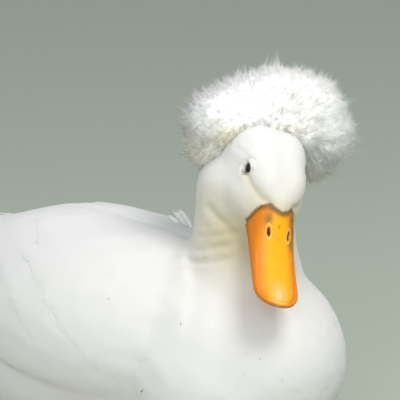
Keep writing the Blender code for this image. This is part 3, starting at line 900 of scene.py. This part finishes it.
def make_crest(mat, down, head):
    """Fine filaments in small tufts, fanned out from the crown."""
    core = Surface(make_crest_core(down, head))
    draw = np.random.RandomState(5)
    roots = scatter(core, lambda p: np.full(len(p), CREST_GAP), lambda p, n: np.full(len(p), True), 31)
    points, normals, index, corner = core.nearest(roots)
    tufts = len(points)
    centre = to_world(HEAD, CREST_FAN[None])[0]
    radial = unit(points - centre)
    fan = radial - normals * (radial * normals).sum(1, keepdims=True)
    lift = draw.uniform(0.40, 0.75, tufts)
    way = unit(fan * (1.0 - 0.4 * lift)[:, None] + normals * lift[:, None])
    way = unit(way + 0.14 * draw.standard_normal((tufts, 3)))
    length = draw.uniform(*TUFT_LENGTHS, tufts)
    wisps = draw.rand(tufts) < WISP_SHARE
    length = np.where(wisps, length * WISP_LONGER, length)
    bend = 0.18 * draw.standard_normal((tufts, 3)) + np.array((0, 0, -0.06))
    gather = np.where(wisps, WISP_GATHER, draw.uniform(0.35, 0.85, tufts))

    def spread(a):
        return np.repeat(a, TUFT_FILAMENTS, 0)

    count = tufts * TUFT_FILAMENTS
    offset = draw.standard_normal((count, 3)) * TUFT_SPREAD
    offset -= spread(normals) * (offset * spread(normals)).sum(1, keepdims=True)
    own_way = unit(spread(way) + 0.12 * draw.standard_normal((count, 3)))
    own_length = spread(length) * draw.uniform(0.75, 1.1, count)
    side = unit(np.cross(own_way, spread(normals) + 0.5 * draw.standard_normal((count, 3))))
    front = np.cross(side, own_way)
    side = np.where((front * spread(normals)).sum(1, keepdims=True) < 0, -side, side)
    s = np.linspace(0.0, 1.0, CREST_LINES)
    base = spread(points - normals * TUFT_ROOT)
    line = base[:, None] + own_way[:, None] * (own_length[:, None] * s)[..., None]
    line = line + spread(bend)[:, None] * (own_length[:, None] * s**2)[..., None]
    line = line + (offset[:, None] * (1.0 - spread(gather)[:, None] * s**1.2)[..., None])
    width = FILAMENT_HALF_WIDTH * (1.0 - 0.85 * s**1.5)
    beside = side[:, None] * width[None, :, None]
    places = np.stack([line - beside, line + beside], 2).reshape(-1, 3)
    quads = sheet_faces(count, CREST_LINES, 2)
    size = CREST_LINES * 2
    local = np.zeros((CREST_LINES, 2, 2))
    local[:, 0, 0], local[:, 1, 0] = -1.0, 1.0
    local[:, :, 1] = s[:, None]
    local = np.tile(local.reshape(-1, 2), (count, 1)) * (PATCH / 2)
    uv = np.repeat(spread(core.map_at(index, corner)), size, 0) + local
    soft = np.repeat(unit(spread(normals * 0.7 + radial * 0.3)), size, 0)
    coat_pieces("crest_filaments", places, quads, uv, soft, mat, 0.2, crest_tint, "crest_plumage")


# Eyes

IRIS = np.array((0.030, 0.016, 0.010))
EYE_BLACK = np.array((0.008, 0.006, 0.006))
EYE_BULGE = 0.035


def ball(name, around, rings, radius):
    bm = bmesh.new()
    bmesh.ops.create_uvsphere(bm, u_segments=around, v_segments=rings, radius=radius)
    return mesh_of(bm, name)


def make_eyes():
    """Dark eyes with a black pupil and a glossy, slightly bulging front."""
    made, shader = material("eye_dark")
    tone = add(made, "Attribute")
    tone.attribute_name = "tint"
    made.node_tree.links.new(tone.outputs["Color"], shader.inputs["Base Color"])
    shader.inputs["Roughness"].default_value = 0.08
    shader.inputs["Specular IOR Level"].default_value = 0.3
    shader.inputs["Coat Weight"].default_value = 0.35
    shader.inputs["Coat Roughness"].default_value = 0.03
    for side, centre, axis in eye_frames():
        mesh = ball("eyeball_" + side, 64, 48, EYE_RADIUS)
        co, _ = vertex_arrays(mesh)
        cosine = co[:, 2] / EYE_RADIUS
        co = co * (1.0 + EYE_BULGE * smoothstep(0.80, 1.0, cosine))[:, None]
        turn = np.array(Vector(axis).to_track_quat("Z", "Y").to_matrix())
        set_places(mesh, co @ turn.T + centre)
        mesh.shade_smooth()
        iris = smoothstep(0.62, 0.74, cosine) * (1.0 - smoothstep(0.86, 0.89, cosine))
        paint(mesh, blend(EYE_BLACK, IRIS, iris))
        mesh.materials.append(made)
        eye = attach(link("eyeball_" + side, mesh), "root")
        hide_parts("eye_" + side)


# Bill


def bill_half_width(t):
    """Half the bill's width seen from above, from the gape at t = 0 to the round end at t = 1."""
    keys = ((0.0, 0.0158), (0.25, 0.0164), (0.5, 0.0168), (0.75, 0.0173), (0.88, 0.0173), (1.0, 0.0173))
    width = through(keys, t)
    if t > BILL_ROUND_FROM:
        width *= (1.0 - ((t - BILL_ROUND_FROM) / (1.0 - BILL_ROUND_FROM)) ** 2.4) ** (1 / 2.4)
    return width


def bill_height(t):
    """The ridge's height above the edges."""
    keys = (
        (0.0, 0.0245), (0.15, 0.0205), (0.3, 0.0150), (0.5, 0.0098),
        (0.7, 0.0072), (0.9, 0.0056), (1.0, 0.0036),
    )
    return through(keys, t)


def lower_depth(t):
    return through(((0.0, 0.0085), (0.4, 0.0055), (0.9, 0.0032), (1.0, 0.0022)), t)


def bill_places():
    """Places along the bill, closer together towards the round end."""
    steps = 150
    return [0.9985 * (1.0 - (1.0 - k / steps) ** 1.35) for k in range(steps + 1)]


def bill_shell(name, lower):
    """Upper or lower half as a closed loft: an arch over an almost flat inside."""
    top, under = 72, 16
    points = []
    for t in bill_places():
        width = max(bill_half_width(t) * (LOWER_SHARE if lower else 1.0), 0.0008)
        edge = 0.0004 if lower else 0.0006
        height = lower_depth(t) if lower else bill_height(t)
        arch = 0.45 if lower else 0.62 - 0.10 * t
        y = -t * BILL_LENGTH * (0.97 if lower else 1.0)
        flip = -1.0 if lower else 1.0
        for k in range(top + 1):
            turn = math.pi * k / top
            z = edge + (height - edge) * math.sin(turn) ** arch
            points.append((width * math.cos(turn), y, flip * z))
        for k in range(1, under):
            across = -1.0 + 2.0 * k / under
            points.append((width * across * 0.985, y, flip * (edge - 0.0003)))
    ring = top + under
    lines = len(points) // ring
    quads = []
    for i in range(lines - 1):
        for j in range(ring):
            n = (j + 1) % ring
            quads.append((i * ring + j, i * ring + n, (i + 1) * ring + n, (i + 1) * ring + j))
    mesh = bpy.data.meshes.new(name)
    ends = [tuple(range(ring)), tuple(range((lines - 1) * ring, lines * ring))]
    mesh.from_pydata(points, [], quads + ends)
    bm = bmesh.new()
    bm.from_mesh(mesh)
    bmesh.ops.recalc_face_normals(bm, faces=bm.faces)
    mesh = mesh_of(bm, name)
    mesh.shade_smooth()
    return mesh


NOSTRIL_AT = np.array((0.0080, -0.0190))
NOSTRIL_SIZE = np.array((0.0013, 0.0034))
BILL_ORANGE = np.array((0.68, 0.195, 0.002))
# The orange is the bill's colour on its shaded sides and underside; the yellow is a painted highlight on the
# top
BILL_HIGHLIGHT_YELLOW = np.array((0.85, 0.40, 0.001))
BILL_BROWN = np.array((0.20, 0.085, 0.012))
# Painted shade inside the nostrils' openings
NOSTRIL_SHADE = np.array((0.07, 0.02, 0.004))
NOSTRIL_RIM = np.array((0.93, 0.55, 0.14))
NAIL_PINK = np.array((0.93, 0.52, 0.20))
NAIL_SIZE = np.array((0.0056, 0.0078, 0.0022))
NAIL_TILT = math.radians(10.0)
NAIL_BACK = 0.0073
NAIL_HEIGHT = 0.0036

# Brown marks on the upper bill: across, along, half width, half length, strength
BILL_SMUDGES = (
    (-0.0090, -0.0105, 0.0030, 0.0056, 0.80),
    (0.0108, -0.0070, 0.0030, 0.0056, 0.90),
    (0.0105, -0.0145, 0.0030, 0.0056, 0.92),
    (0.0108, -0.0225, 0.0030, 0.0056, 0.80),
)
BILL_MARKS = ((-0.0011, -0.0152, 0.00045, 0.0016, 0.8), (-0.0007, -0.0236, 0.0004, 0.0005, 0.8))


def nostril(co):
    """Distance from the nearer nostril's middle, in nostril sizes, on the bill seen from above."""
    flat = np.stack([np.abs(co[:, 0]), co[:, 1]], 1) - NOSTRIL_AT
    turn = math.radians(8.0)
    x = flat[:, 0] * math.cos(turn) - flat[:, 1] * math.sin(turn)
    y = flat[:, 0] * math.sin(turn) + flat[:, 1] * math.cos(turn)
    return np.sqrt((x / NOSTRIL_SIZE[0]) ** 2 + (y / NOSTRIL_SIZE[1]) ** 2)


def bill_relief(co, width, up):
    """Height of the bill's detail: a bead along the edge with a groove inside it, the rims of the nostrils,
    and shallow hollows beside the ridge at the base."""
    t = -co[:, 1] / BILL_LENGTH
    inward = width - np.abs(co[:, 0])
    inward = np.minimum(inward, np.where(t > 0.85, (1.0 - t) * BILL_LENGTH, 1.0))
    bead = 0.00030 * hump(inward, 0.0011, 0.0007)
    groove = 0.00045 * hump(inward, 0.0030, 0.0010)
    away = nostril(co)
    nostrils = 0.00035 * hump(away, 1.45, 0.35) - 0.0022 * smoothstep(1.05, 0.55, away)
    hollow = 0.0007 * hump(np.abs(co[:, 0]), 0.0085, 0.003) * hump(co[:, 1], -0.010, 0.010)
    return up * ((bead - groove) * smoothstep(0.30, 0.60, t) + nostrils - hollow)


def bill_colours(co, width, up, skin_gap):
    """Orange, yellower along the top middle as a painted highlight, brown where the feathers end, and dark in
    the nostrils as painted shade.
    """
    side = np.abs(co[:, 0]) / np.maximum(width, 1e-5)
    t = -co[:, 1] / BILL_LENGTH
    # Painted highlight: yellower along the middle of the top, on faces that look up
    painted_highlight = (1.0 - smoothstep(0.30, 0.95, side)) * smoothstep(-0.10, 0.22, t) * up
    colour = blend(BILL_ORANGE, BILL_HIGHLIGHT_YELLOW, painted_highlight)
    nail = hump(co[:, 0], 0.0, 0.0055) * hump((t - 0.905) * BILL_LENGTH, 0.0, 0.0085)
    colour = blend(colour, NAIL_PINK, 0.75 * nail * up)
    brown = 0.9 * smoothstep(0.0040, 0.0014, skin_gap)
    for x, y, wide, long, strength in BILL_SMUDGES:
        brown = np.maximum(brown, strength * hump(co[:, 0], x, wide) * hump(co[:, 1], y, long))
    colour = blend(colour, BILL_BROWN, brown)
    away = nostril(co)
    colour = blend(colour, NOSTRIL_RIM, 0.6 * hump(away, 1.45, 0.3) * up)
    # Painted shade: the nostrils' openings are darkened
    colour = blend(colour, NOSTRIL_SHADE, smoothstep(1.05, 0.75, away) * up)
    for x, y, wide, long, strength in BILL_MARKS:
        colour = blend(colour, BILL_BROWN, strength * hump(co[:, 0], x, wide) * hump(co[:, 1], y, long) * up)
    return colour


def horn_material(name):
    """Smooth, slightly waxy skin of the bill, with fine pits and mottling."""
    made, shader = material(name)
    mottle = texture(made, "TexNoise", Scale=220.0, Detail=4.0).outputs["Fac"]
    shade(made, shader, mottle, mottle, 0.12, 0.0004, To_Min=0.86, To_Max=1.08)
    shader.inputs["Roughness"].default_value = 0.5
    shader.inputs["Specular IOR Level"].default_value = 0.3
    shader.inputs["Subsurface Weight"].default_value = 0.25
    shader.inputs["Subsurface Radius"].default_value = (1.0, 0.35, 0.08)
    shader.inputs["Subsurface Scale"].default_value = 0.0015
    return made


def make_bill(skin):
    horn = horn_material("bill_skin")
    for name, lower in (("upper", False), ("lower", True)):
        mesh = bill_shell("bill_skin_" + name, lower)
        co, normal = vertex_arrays(mesh)
        places = np.clip(-co[:, 1] / BILL_LENGTH, 0.0, 1.0)
        width = np.interp(places, np.linspace(0, 1, 400), [bill_half_width(k / 399) for k in range(400)])
        up = smoothstep(-0.1, 0.3, normal[:, 2]) if not lower else np.zeros(len(co))
        beside, _, _, _ = skin.nearest(to_world(BILL, co))
        skin_gap = np.linalg.norm(to_world(BILL, co) - beside, axis=1)
        colours = bill_colours(co, width, up, skin_gap)
        co = co + normal * bill_relief(co, width, up)[:, None]
        set_places(mesh, to_world(BILL, co))
        paint(mesh, colours)
        mesh.materials.append(horn)
        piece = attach(link("bill_skin_" + name, mesh), "root")
        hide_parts("bill_" + name)
    mesh = ball("bill_nail_tip", 64, 40, 1.0)
    co, _ = vertex_arrays(mesh)
    radial = np.hypot(co[:, 0], co[:, 1])
    tilt = np.array(Matrix.Rotation(NAIL_TILT, 3, "X"))
    co = (co * NAIL_SIZE) @ tilt.T + np.array((0, NAIL_BACK - BILL_LENGTH, NAIL_HEIGHT))
    set_places(mesh, to_world(BILL, co))
    mesh.shade_smooth()
    # The nail's rim takes the yellow of the painted highlight on the bill's top
    paint(mesh, blend(BILL_HIGHLIGHT_YELLOW * 0.93, NAIL_PINK, smoothstep(1.0, 0.3, radial)))
    mesh.materials.append(horn)
    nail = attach(link("bill_nail_tip", mesh), "root")
    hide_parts("bill_nail")


# Flight feathers

BODY_AXIS_HEIGHT = 0.085
LONG_GRID = (16, 9, 0.55, 0.30, 0.72)


def on_trunk(surface, side, along, turn):
    """The point of the skin beside the trunk's axis, turned down from straight up towards one side."""
    start = Vector((0.0, along, BODY_AXIS_HEIGHT))
    way = Vector((side * math.sin(turn), 0.0, math.cos(turn)))
    return np.array(surface.tree.ray_cast(start, way)[0])


# Rows of wing feathers: how many, root of the first and last (along the trunk, and degrees down from the
# top), their lengths, half width, how far they turn inwards, and how far the tips stand above the coat
WING_ROWS = (
    # Primary coverts, secondaries, greater coverts and median coverts
    (7, (0.030, 104), (0.075, 82), (0.052, 0.056), 0.0075, (0.03, 0.04), 0.0002),
    (11, (-0.005, 103), (0.085, 60), (0.080, 0.078), 0.0092, (0.02, 0.08), 0.0004),
    (11, (-0.030, 101), (0.058, 55), (0.044, 0.042), 0.0088, (-0.02, 0.10), 0.0006),
    (12, (-0.050, 97), (0.040, 50), (0.030, 0.030), 0.0078, (-0.04, 0.10), 0.0007),
    # Tertials and scapulars
    (5, (0.062, 60), (0.048, 36), (0.092, 0.112), 0.0125, (0.00, 0.16), 0.0009),
    (7, (-0.010, 56), (0.012, 24), (0.060, 0.072), 0.0115, (0.02, 0.04), 0.0011),
)


def make_wings(surface, mat):
    """The folded wings' rows of feathers, which lie on the coat from shoulder to rump."""
    draw = np.random.RandomState(17)
    for side, sign in (("left", 1), ("right", -1)):
        gathered = []
        for count, first, last, lengths, half, inward, stand in WING_ROWS:
            share = np.linspace(0.0, 1.0, count)
            along = np.interp(share, (0, 1), (first[0], last[0]))
            turns = np.radians(np.interp(share, (0, 1), (first[1], last[1])))
            roots = np.array([on_trunk(surface, sign, *root) for root in zip(along, turns)])
            points, normals, _, _ = surface.nearest(roots)
            turn_in = np.interp(share, (0, 1), inward) + 0.012 * draw.standard_normal(count)
            heading = np.stack([-sign * turn_in, np.ones(count), -0.02 * np.ones(count)], 1)
            ways = unit(heading - normals * (heading * normals).sum(1, keepdims=True))
            long = np.interp(share, (0, 1), lengths) * draw.uniform(0.97, 1.03, count)
            depth = coat_depth(points)
            high = depth + stand + 0.0003 * share
            gathered.append(lay_vanes(surface, points, ways, long, np.full(count, half), depth * 0.75, high,
                                      LONG_GRID, draw, fray=0.02, camber=0.45, shaft=0.0002))
        coat_pieces("wing_feathers_" + side, *joined_vanes(gathered), mat, own=0.25)


def joined_vanes(parts):
    """Several sets of vanes as one set of arrays."""
    shift, quads = 0, []
    for points, faces, _, _ in parts:
        quads.append(faces + shift)
        shift += len(points)
    points, _, uv, soft = (np.concatenate(arrays) for arrays in zip(*parts))
    return points, np.concatenate(quads), uv, soft


def free_vane(surface, line, side, up, half_width, camber, grid, draw):
    """One long feather along a line of points, with its own side and up vectors at each."""
    lines, columns = grid[0], grid[1]
    across, t, b = vane_grid(*grid)
    share = np.linspace(0.0, 1.0, len(line))
    place, sides, ups = (
        np.stack([np.interp(t, share, rows[:, k]) for k in range(3)], 1) for rows in (line, side, up)
    )
    waver = 1.0 + 0.010 * draw.standard_normal(len(t)) * (np.abs(b) > 0.99)
    points = place + sides * (across * half_width * waver)[:, None]
    shaft = SHAFT_HEIGHT * hump(b, 0.0, SHAFT_WIDTH) * (1.0 - t)
    points = points + ups * (shaft - camber * half_width * b**2)[:, None]
    quads = sheet_faces(1, lines, columns)[:, ::-1]
    _, _, index, corner = surface.nearest(line[:1])
    return points, quads, surface.map_at(index, corner) + np.stack([b, t], 1) * (PATCH / 2), ups


FLIGHT_THICKNESS = 0.0004


def solid_piece(name, parts, mat, replaced):
    """Feathers with two sides, as one piece that stands for CAD nodes."""
    made = coat_pieces(name, *joined_vanes(parts), mat)
    for piece in made:
        shell = piece.modifiers.new("shell", "SOLIDIFY")
        shell.thickness = FLIGHT_THICKNESS
        shell.offset = -1.0
        applied(piece)
        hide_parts(*replaced)


TIP_START = np.array((0.043, 0.112, 0.1310))
TIP_END = np.array((0.0130, 0.250, 0.1270))
TIP_BEND = np.array((0.007, 0.0, 0.002))
TIP_BANK = math.radians(28.0)
TIP_FEATHERS = 6
TIP_STEP = 0.085
TIP_SLIP = 0.0024
TIP_RISES = (0.0030, 0.0009)
TIP_HALF_WIDTH = 0.0078
TIP_CAMBER = 0.16
TIP_GRID = (22, 9, 0.8, 0.25, 0.75)


def make_primaries(surface, mat):
    """The primaries' ends, stacked side by side over the rump, the innermost on top."""
    draw = np.random.RandomState(19)
    steps = np.linspace(0.0, 1.0, 24)
    for side, sign in (("left", 1), ("right", -1)):
        mirror = np.array((sign, 1, 1))
        start, end = TIP_START * mirror, TIP_END * mirror
        heading = unit(end - start)
        level = Vector(unit(np.cross(heading, (0, 0, 1))))
        parts = []
        for k in range(TIP_FEATHERS):
            along = steps * (1.0 - TIP_STEP * (TIP_FEATHERS - 1 - k))
            line = start + (end - start) * along[:, None]
            line = line + (TIP_BEND * mirror) * np.sin(math.pi * along)[:, None]
            banks = TIP_BANK * (1.0 - 0.7 * along)
            turns = (Matrix.Rotation(sign * bank, 3, Vector(heading)) for bank in banks)
            side_ways = np.array([tuple(turn @ level) for turn in turns])
            up = np.cross(side_ways, heading)
            outer = side_ways * (sign * (k - 2.5) * TIP_SLIP)
            line = line + outer * (1.0 - 0.4 * steps)[:, None] + up * (TIP_RISES[0] - TIP_RISES[1] * k)
            parts.append(free_vane(surface, line, side_ways, up, TIP_HALF_WIDTH, TIP_CAMBER, TIP_GRID, draw))
        solid_piece("primaries_" + side, parts, mat, ["wing_tip_" + side])


TAIL_ROOT = np.array((0.0, 0.200, 0.1135))
TAIL_LENGTH = 0.0925
TAIL_RISE = math.radians(9.0)
TAIL_FAN = math.radians(24.0)
TAIL_EACH_SIDE = 7
TAIL_ROOT_HALF = 0.012
TAIL_HALF_WIDTH = 0.0098
TAIL_CAMBER = 0.10
TAIL_GRID = (20, 9, 0.6, 0.35, 0.75)


def make_tail(surface, mat):
    """The tail's fan: the middle pair on top, and each next feather below it and shorter."""
    draw = np.random.RandomState(23)
    steps = np.linspace(0.0, 1.0, 20)
    rise = np.array(Matrix.Rotation(TAIL_RISE, 3, "X"))
    parts = []
    for k in range(TAIL_EACH_SIDE, -1, -1):
        for sign in (1, -1):
            share = (k + 0.5) / (TAIL_EACH_SIDE + 0.5)
            fan = sign * TAIL_FAN * share
            length = TAIL_LENGTH * (1.0 - 0.20 * share**2)
            out = steps * length
            x = sign * TAIL_ROOT_HALF * share + out * math.sin(fan)
            y = out * math.cos(fan)
            z = 0.0012 + 0.0034 * (1.0 - share) - 2.0 * x**2 + 0.0004 * sign * (1.0 - share)
            line = np.stack([x, y, z], 1) @ rise.T + TAIL_ROOT
            bank = 0.10 * sign * share
            across = np.tile(np.array((math.cos(fan), -math.sin(fan), -bank)), (len(steps), 1))
            across = unit(across @ rise.T)
            up = unit(np.tile(rise @ np.array((bank, 0, 1.0)), (len(steps), 1)))
            parts.append(free_vane(surface, line, across, up, TAIL_HALF_WIDTH, TAIL_CAMBER, TAIL_GRID, draw))
    solid_piece("tail_feathers", parts, mat, ["tail"])


RAISED_AT = np.array((0.0208, -0.0125, 0.1500))
RAISED_WAY = np.array((-0.10, 0.35, 0.93))
RAISED_AROUND = np.array((0.0040, 0.0050, 0.0))
RAISED_LENGTHS = (0.009, 0.0165)
RAISED_HALF_WIDTH = 0.0018
RAISED_CAMBER = 0.5
RAISED_GRID = (12, 7, 0.8, 0.05, 0.10)
RAISED_COUNT = 7


def make_raised(surface, mat):
    """A few feathers that stand up from the back beside the neck."""
    draw = np.random.RandomState(29)
    steps = np.linspace(0.0, 1.0, 10)
    parts = []
    for _ in range(RAISED_COUNT):
        place = RAISED_AT + draw.uniform(-1.0, 1.0, 3) * RAISED_AROUND
        root = surface.nearest(place[None])[0][0]
        way = unit(RAISED_WAY + 0.22 * draw.standard_normal(3))
        long = draw.uniform(*RAISED_LENGTHS)
        back = np.array((0.0, 1.0, -0.25)) * long * 0.35
        line = root + way * (steps * long)[:, None] + back * (steps**2)[:, None]
        across = unit(np.cross(way, (0.5, 0.8, 0.1)) + 0.3 * draw.standard_normal(3))
        up = unit(np.cross(across, way))
        across, up = (np.tile(vector, (len(steps), 1)) for vector in (across, up))
        shape = (RAISED_HALF_WIDTH, RAISED_CAMBER, RAISED_GRID)
        parts.append(free_vane(surface, line, across, up, *shape, draw))
    coat_pieces("raised_feathers", *joined_vanes(parts), mat)


# Legs

HOCK = Vector((0.066, 0.112, 0.0065))
ANKLE = Vector((0.064, 0.052, 0.0056))
SHANK_RADIUS = 0.0062
TOE_LENGTH = 0.066
TOE_SHARES = ((-1, 0.86), (0, 1.0), (1, 0.92))
TOE_SPREAD = math.radians(23.0)
TOE_RADIUS = 0.0036
CLAW_LENGTH = 0.0055
CLAW_RADII = (0.0014, 0.0013, 0.0010, 0.0005)
FOOT_TURN = math.radians(9.0)
WEB_HEIGHT = 0.0015
WEB_BOW = 0.16
LEG_VOXEL = 0.0006
LEG_ORANGE = np.array((0.80, 0.25, 0.012))
CLAW_BROWN = np.array((0.28, 0.17, 0.09))


def limb(bm, line, radii, flat=1.0, sides=20):
    """A closed tube along a level line, each ring with its radius, lower than wide by flat."""
    rings = []
    for k, centre in enumerate(line):
        along = (line[min(k + 1, len(line) - 1)] - line[max(k - 1, 0)]).normalized()
        side = along.cross(Vector((0, 0, 1))).normalized()
        up = side.cross(along)
        ring = []
        for m in range(sides):
            turn = math.tau * m / sides
            offset = side * math.cos(turn) + up * (flat * math.sin(turn))
            ring.append(bm.verts.new(centre + offset * radii[k]))
        rings.append(ring)
    for near, far in zip(rings, rings[1:]):
        for m in range(sides):
            n = (m + 1) % sides
            bm.faces.new((near[m], near[n], far[n], far[m]))
    bm.faces.new(rings[0])
    bm.faces.new(rings[-1])


def web(bm, outline):
    """A flat sheet of even thickness inside an outline on the floor."""
    low = [bm.verts.new((p.x, p.y, -WEB_HEIGHT)) for p in outline]
    high = [bm.verts.new((p.x, p.y, WEB_HEIGHT)) for p in outline]
    bm.faces.new(low)
    bm.faces.new(high)
    for k in range(len(outline)):
        n = (k + 1) % len(outline)
        bm.faces.new((low[k], low[n], high[n], high[k]))


def toe_line(start, end, steps=14):
    """A toe's middle line and radii, with a knuckle at each joint, and low at the tip."""
    line, radii = [], []
    for k in range(steps + 1):
        t = k / steps
        knuckle = 1.0 + 0.13 * sum(math.exp(-(((t - place) / 0.07) ** 2)) for place in (0.34, 0.66, 0.93))
        radius = TOE_RADIUS * (1.08 - 0.42 * t) * knuckle
        line.append(start.lerp(end, t) + Vector((0, 0, radius * 0.62)))
        radii.append(radius)
    return line, radii


SCALES_PER_METRE = 620.0


def leg_material():
    """Orange skin with small scales."""
    made, shader = material("leg_scales")
    scales = texture(made, "TexVoronoi", Scale=SCALES_PER_METRE)
    scales.feature = "DISTANCE_TO_EDGE"
    edge = add(made, "MapRange", From_Max=0.12, To_Min=0.55, To_Max=1.0)
    made.node_tree.links.new(scales.outputs["Distance"], edge.inputs["Value"])
    shade(made, shader, edge.outputs["Result"], edge.outputs["Result"], 0.5, 0.0003)
    shader.inputs["Roughness"].default_value = 0.5
    return made


def make_legs():
    """Shanks and webbed feet, flat on the floor."""
    skin = leg_material()
    steps = 24
    ends = [abs(2 * k / steps - 1) for k in range(steps + 1)]
    for side, sign in (("left", 1), ("right", -1)):
        bm = bmesh.new()
        start = Vector((sign * ANKLE.x, ANKLE.y, 0))
        hock = Vector((sign * HOCK.x, HOCK.y, HOCK.z))
        ankle = Vector((sign * ANKLE.x, ANKLE.y, ANKLE.z))
        line = [hock.lerp(ankle, k / steps) for k in range(steps + 1)]
        limb(bm, line, [SHANK_RADIUS * (0.92 + 0.20 * e**4) for e in ends], 0.95)
        for joint in (hock, ankle):
            round_end = Matrix.Translation(joint) @ Matrix.Diagonal((1.15, 1.35, 1.0, 1.0))
            bmesh.ops.create_icosphere(bm, subdivisions=4, radius=SHANK_RADIUS, matrix=round_end)
        toes = []
        for k, share in TOE_SHARES:
            heading = sign * (FOOT_TURN + k * TOE_SPREAD)
            toes.append(start + Vector((math.sin(heading), -math.cos(heading), 0)) * TOE_LENGTH * share)
        hind = start + Vector((-sign * 0.010, 0.010, 0))
        for end in toes + [hind]:
            limb(bm, *toe_line(start, end))
            ahead = (end - start).normalized()
            bent = ((s, 0.0022 - 0.0014 * s**2) for s in (-0.3, 0.2, 0.6, 1.0))
            claw = [end + ahead * CLAW_LENGTH * s + Vector((0, 0, z)) for s, z in bent]
            limb(bm, claw, CLAW_RADII)
        for a, b in zip(toes, toes[1:]):
            shares = np.linspace(0, 1, 9)
            bow = [a.lerp(b, s).lerp(start, WEB_BOW * math.sin(math.pi * s) ** 0.7) for s in shares]
            web(bm, [start] + bow)
        bmesh.ops.recalc_face_normals(bm, faces=bm.faces)
        leg = melted(link("leg_" + side, mesh_of(bm, "leg_" + side)), LEG_VOXEL, 2)
        co, _ = vertex_arrays(leg.data)
        co[:, 2] = np.maximum(co[:, 2], 0.0)
        set_places(leg.data, co)
        leg.data.shade_smooth()
        from_tips = np.array([np.linalg.norm(co[:, :2] - np.array(end)[:2], axis=1) for end in toes])
        toe_lengths = np.array([TOE_LENGTH * share for _, share in TOE_SHARES])[np.argmin(from_tips, 0)]
        past_toe = np.linalg.norm(co[:, :2] - np.array(start)[:2], axis=1) - toe_lengths
        claws = smoothstep(0.0008, 0.0020, past_toe) * (np.min(from_tips, 0) < 0.008)
        paint(leg.data, blend(LEG_ORANGE, CLAW_BROWN, claws))
        leg.data.materials.clear()
        leg.data.materials.append(skin)
        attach(leg, "root")
        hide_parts("shank_" + side, "foot_" + side)


# Stage

FLOOR_RADIUS = 60.0
FLOOR_COLOURS = ((0.40, 0.44, 0.36, 1.0), (0.43, 0.47, 0.39, 1.0))
SKY = (0.90, 0.94, 1.0, 1.0)
SKY_STRENGTH = 0.62


def camera_axes():
    turn, rise = CAMERA_AZIMUTH, CAMERA_ELEVATION
    right = Vector((math.cos(turn), math.sin(turn), 0.0))
    back = Vector((math.sin(turn) * math.cos(rise), -math.cos(turn) * math.cos(rise), math.sin(rise)))
    return right, back.cross(right), back


def make_camera():
    right, up, back = camera_axes()
    aim = right * CAMERA_AIM[0] + up * CAMERA_AIM[1] + back * CAMERA_AIM[2]
    data = bpy.data.cameras.new("camera")
    camera = link("camera", data)
    data.sensor_width = SENSOR
    data.lens = SENSOR * CAMERA_DISTANCE / VIEW_WIDTH
    data.clip_start, data.clip_end = 0.05, 100.0
    camera.location = aim + back * CAMERA_DISTANCE
    camera.rotation_mode = "QUATERNION"
    camera.rotation_quaternion = back.to_track_quat("Z", "Y")
    bpy.context.scene.camera = camera
    return aim


def area_light(name, place, aim, size, power, colour):
    data = bpy.data.lights.new(name, "AREA")
    data.shape = "DISK"
    data.size = size
    data.energy = power
    data.color = colour
    lamp = link(name, data)
    lamp.location = place
    lamp.rotation_mode = "QUATERNION"
    lamp.rotation_quaternion = (Vector(aim) - Vector(place)).to_track_quat("-Z", "Y")


def make_stage(aim):
    """A pale floor that runs to the horizon, and soft lights from above."""
    bm = bmesh.new()
    bmesh.ops.create_circle(bm, cap_ends=True, segments=96, radius=FLOOR_RADIUS)
    floor = link("floor", mesh_of(bm, "floor"))
    made, shader = material("floor_paint")
    links = made.node_tree.links
    mix = add(made, "Mix")
    mix.data_type = "RGBA"
    mix.inputs["A"].default_value, mix.inputs["B"].default_value = FLOOR_COLOURS
    links.new(add(made, "TexNoise", Scale=3.0).outputs["Fac"], mix.inputs["Factor"])
    links.new(mix.outputs["Result"], shader.inputs["Base Color"])
    shader.inputs["Roughness"].default_value = 0.9
    floor.data.materials.append(made)
    world = bpy.data.worlds.new("studio")
    bpy.context.scene.world = world
    world.use_nodes = True
    world.node_tree.nodes["Background"].inputs["Color"].default_value = SKY
    world.node_tree.nodes["Background"].inputs["Strength"].default_value = SKY_STRENGTH
    right, up, back = camera_axes()
    area_light("key", aim + right * 0.55 + up * 1.25 + back * 1.0, aim, 0.8, 20.0, (1.0, 0.98, 0.95))
    area_light("fill", aim - right * 0.5 + up * 0.2 + back * 1.9, aim, 1.4, 16.0, (0.98, 0.99, 1.0))
    bpy.context.scene.view_settings.view_transform = "Standard"


def main():
    aim = make_camera()
    make_stage(aim)
    skin = make_skin()
    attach(skin, "root")
    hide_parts(*FLESH)
    feather = plumage_material("feather_white", through=0.25)
    down = plumage_material("down_white")
    skin.data.materials.clear()
    skin.data.materials.append(down)
    co, _ = vertex_arrays(skin.data)
    paint(skin.data, tint(co))
    surface = Surface(skin)
    make_coat(surface, feather)
    wisp = plumage_material("crest_white", roughness=0.85, bump=0.05, through=0.4)
    make_crest(wisp, down, surface)
    make_wings(surface, feather)
    make_primaries(surface, feather)
    make_tail(surface, feather)
    make_raised(surface, feather)
    make_eyes()
    make_bill(surface)
    make_legs()


main()
